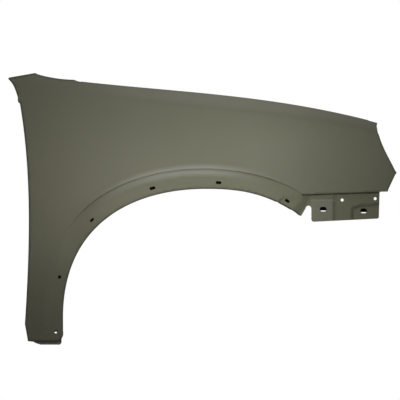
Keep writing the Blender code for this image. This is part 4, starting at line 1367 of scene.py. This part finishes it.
def bolt_hole_shadow_pads():
    """Centre and loops of a thin pad, painted shade, behind the upper part of each bolt slot and
    the foot hole.
    """
    for centre, length, width, drop in (
        (rear_bolt(), BOLT_SLOT, BOLT_SLOT_WIDTH, REAR_PAD_DROP),
        (front_bolt(), BOLT_SLOT, BOLT_SLOT_WIDTH, FRONT_PAD_DROP),
        (foot_hole(), FOOT_HOLE, FOOT_HOLE, FOOT_PAD_DROP),
    ):
        outer = oval(centre, length + PAD_OVER, width + PAD_OVER)
        inner = oval(centre - [0.0, drop * width], PAD_OPEN * length, PAD_OPEN * width)
        yield centre, [(crescent(outer, inner), sunk) for sunk in PAD_FACES]


def plug_piece(name, plugs, offset, material):
    """One piece made of closed bodies, each given by its centre and its sunk loops."""
    mesh = bmesh.new()
    for centre, sections in plugs:
        add_plug(mesh, centre, sections)
    bmesh.ops.recalc_face_normals(mesh, faces=mesh.faces)
    piece = add_mesh(name, mesh, material)
    piece.location = offset
    return piece


def area_light(name, place, target, size, power, colour):
    light = bpy.data.lights.new(name, "AREA")
    light.shape = "RECTANGLE"
    light.size, light.size_y = size
    light.energy = power
    light.color = colour
    lamp = placed(name, light)
    lamp.location = place
    lamp.rotation_euler = (Vector(target) - Vector(place)).to_track_quat("-Z", "Y").to_euler()
    lamp.visible_camera = False


def background_rays(tree):
    """1 for the rays that show the background: from the camera, mirrored, or through glass."""
    path = tree.nodes.new("ShaderNodeLightPath")
    share = path.outputs["Is Camera Ray"]
    for name in ("Is Glossy Ray", "Is Transmission Ray"):
        share = reckoned(tree, "MAXIMUM", share, path.outputs[name])
    return share


def add_surroundings():
    """Dim even light all round, seen as plain white."""
    world = bpy.data.worlds.new("studio")
    bpy.context.scene.world = world
    world.use_nodes = True
    tree = world.node_tree
    tree.nodes.clear()
    around = add_node(tree, "ShaderNodeBackground", Color=WHITE, Strength=AMBIENT)
    seen = add_node(tree, "ShaderNodeBackground", Color=WHITE, Strength=1.0)
    mix = tree.nodes.new("ShaderNodeMixShader")
    feed(tree, mix, {0: background_rays(tree), 1: around.outputs[0], 2: seen.outputs[0]})
    add_node(tree, "ShaderNodeOutputWorld", Surface=mix.outputs[0])


def add_floor():
    """The pale floor, well below the panel."""
    mesh = bmesh.new()
    bmesh.ops.create_grid(mesh, x_segments=1, y_segments=1, size=FLOOR_HALF)
    floor = add_mesh("floor", mesh, floor_paint())
    floor.location = (0.0, 0.0, cad_low.z - FLOOR_DROP)


def add_camera(offset):
    """A far camera, square on to the painted side."""
    lens = bpy.data.cameras.new("camera")
    lens.lens = CAMERA_LENS
    lens.sensor_width = CAMERA_SENSOR
    lens.clip_end = 4 * CAMERA_AWAY
    eye = placed("camera", lens)
    middle = Vector((PICTURE_MIDDLE[0], 0.0, PICTURE_MIDDLE[1])) + offset
    eye.location = (middle.x, -CAMERA_AWAY, middle.z)
    eye.rotation_euler = (math.pi / 2, 0.0, 0.0)
    bpy.context.scene.camera = eye


def studio(offset):
    """The surroundings, the floor, the lamps and the camera."""
    add_surroundings()
    add_floor()
    for name, place, target, size, power, colour in LAMPS:
        area_light(name, Vector(place) + offset, Vector(target) + offset, size, power, colour)
    add_camera(offset)
    bpy.context.scene.view_settings.view_transform = "Standard"


def floor_paint():
    """Pale matt floor, lifted where it is seen, so that it reads white and keeps its shadow."""
    material = bpy.data.materials.new("floor_paint")
    tree, shader = shader_of(material)
    lift = reckoned(tree, "MULTIPLY", background_rays(tree), FLOOR_LIFT)
    feed(tree, shader, {"Base Color": FLOOR_TINT, "Roughness": MATT})
    feed(tree, shader, {"Emission Color": WHITE, "Emission Strength": lift})
    return material


panel, offset = panel_piece()
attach(panel, "root")
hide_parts("fender_panel")
black = shade_black()
# The black plugs are painted shade, darkening the clip slots.
plugs = plug_piece("clip_slot_shadow_plugs", clip_plugs(), offset, black)
shade(plugs.data)
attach(plugs, "root")
# The black pads are painted shade over the upper parts of the bolt slots and the foot hole.
pads = plug_piece("bolt_hole_shadow_pads", bolt_hole_shadow_pads(), offset, black)
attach(pads, "root")
studio(offset)
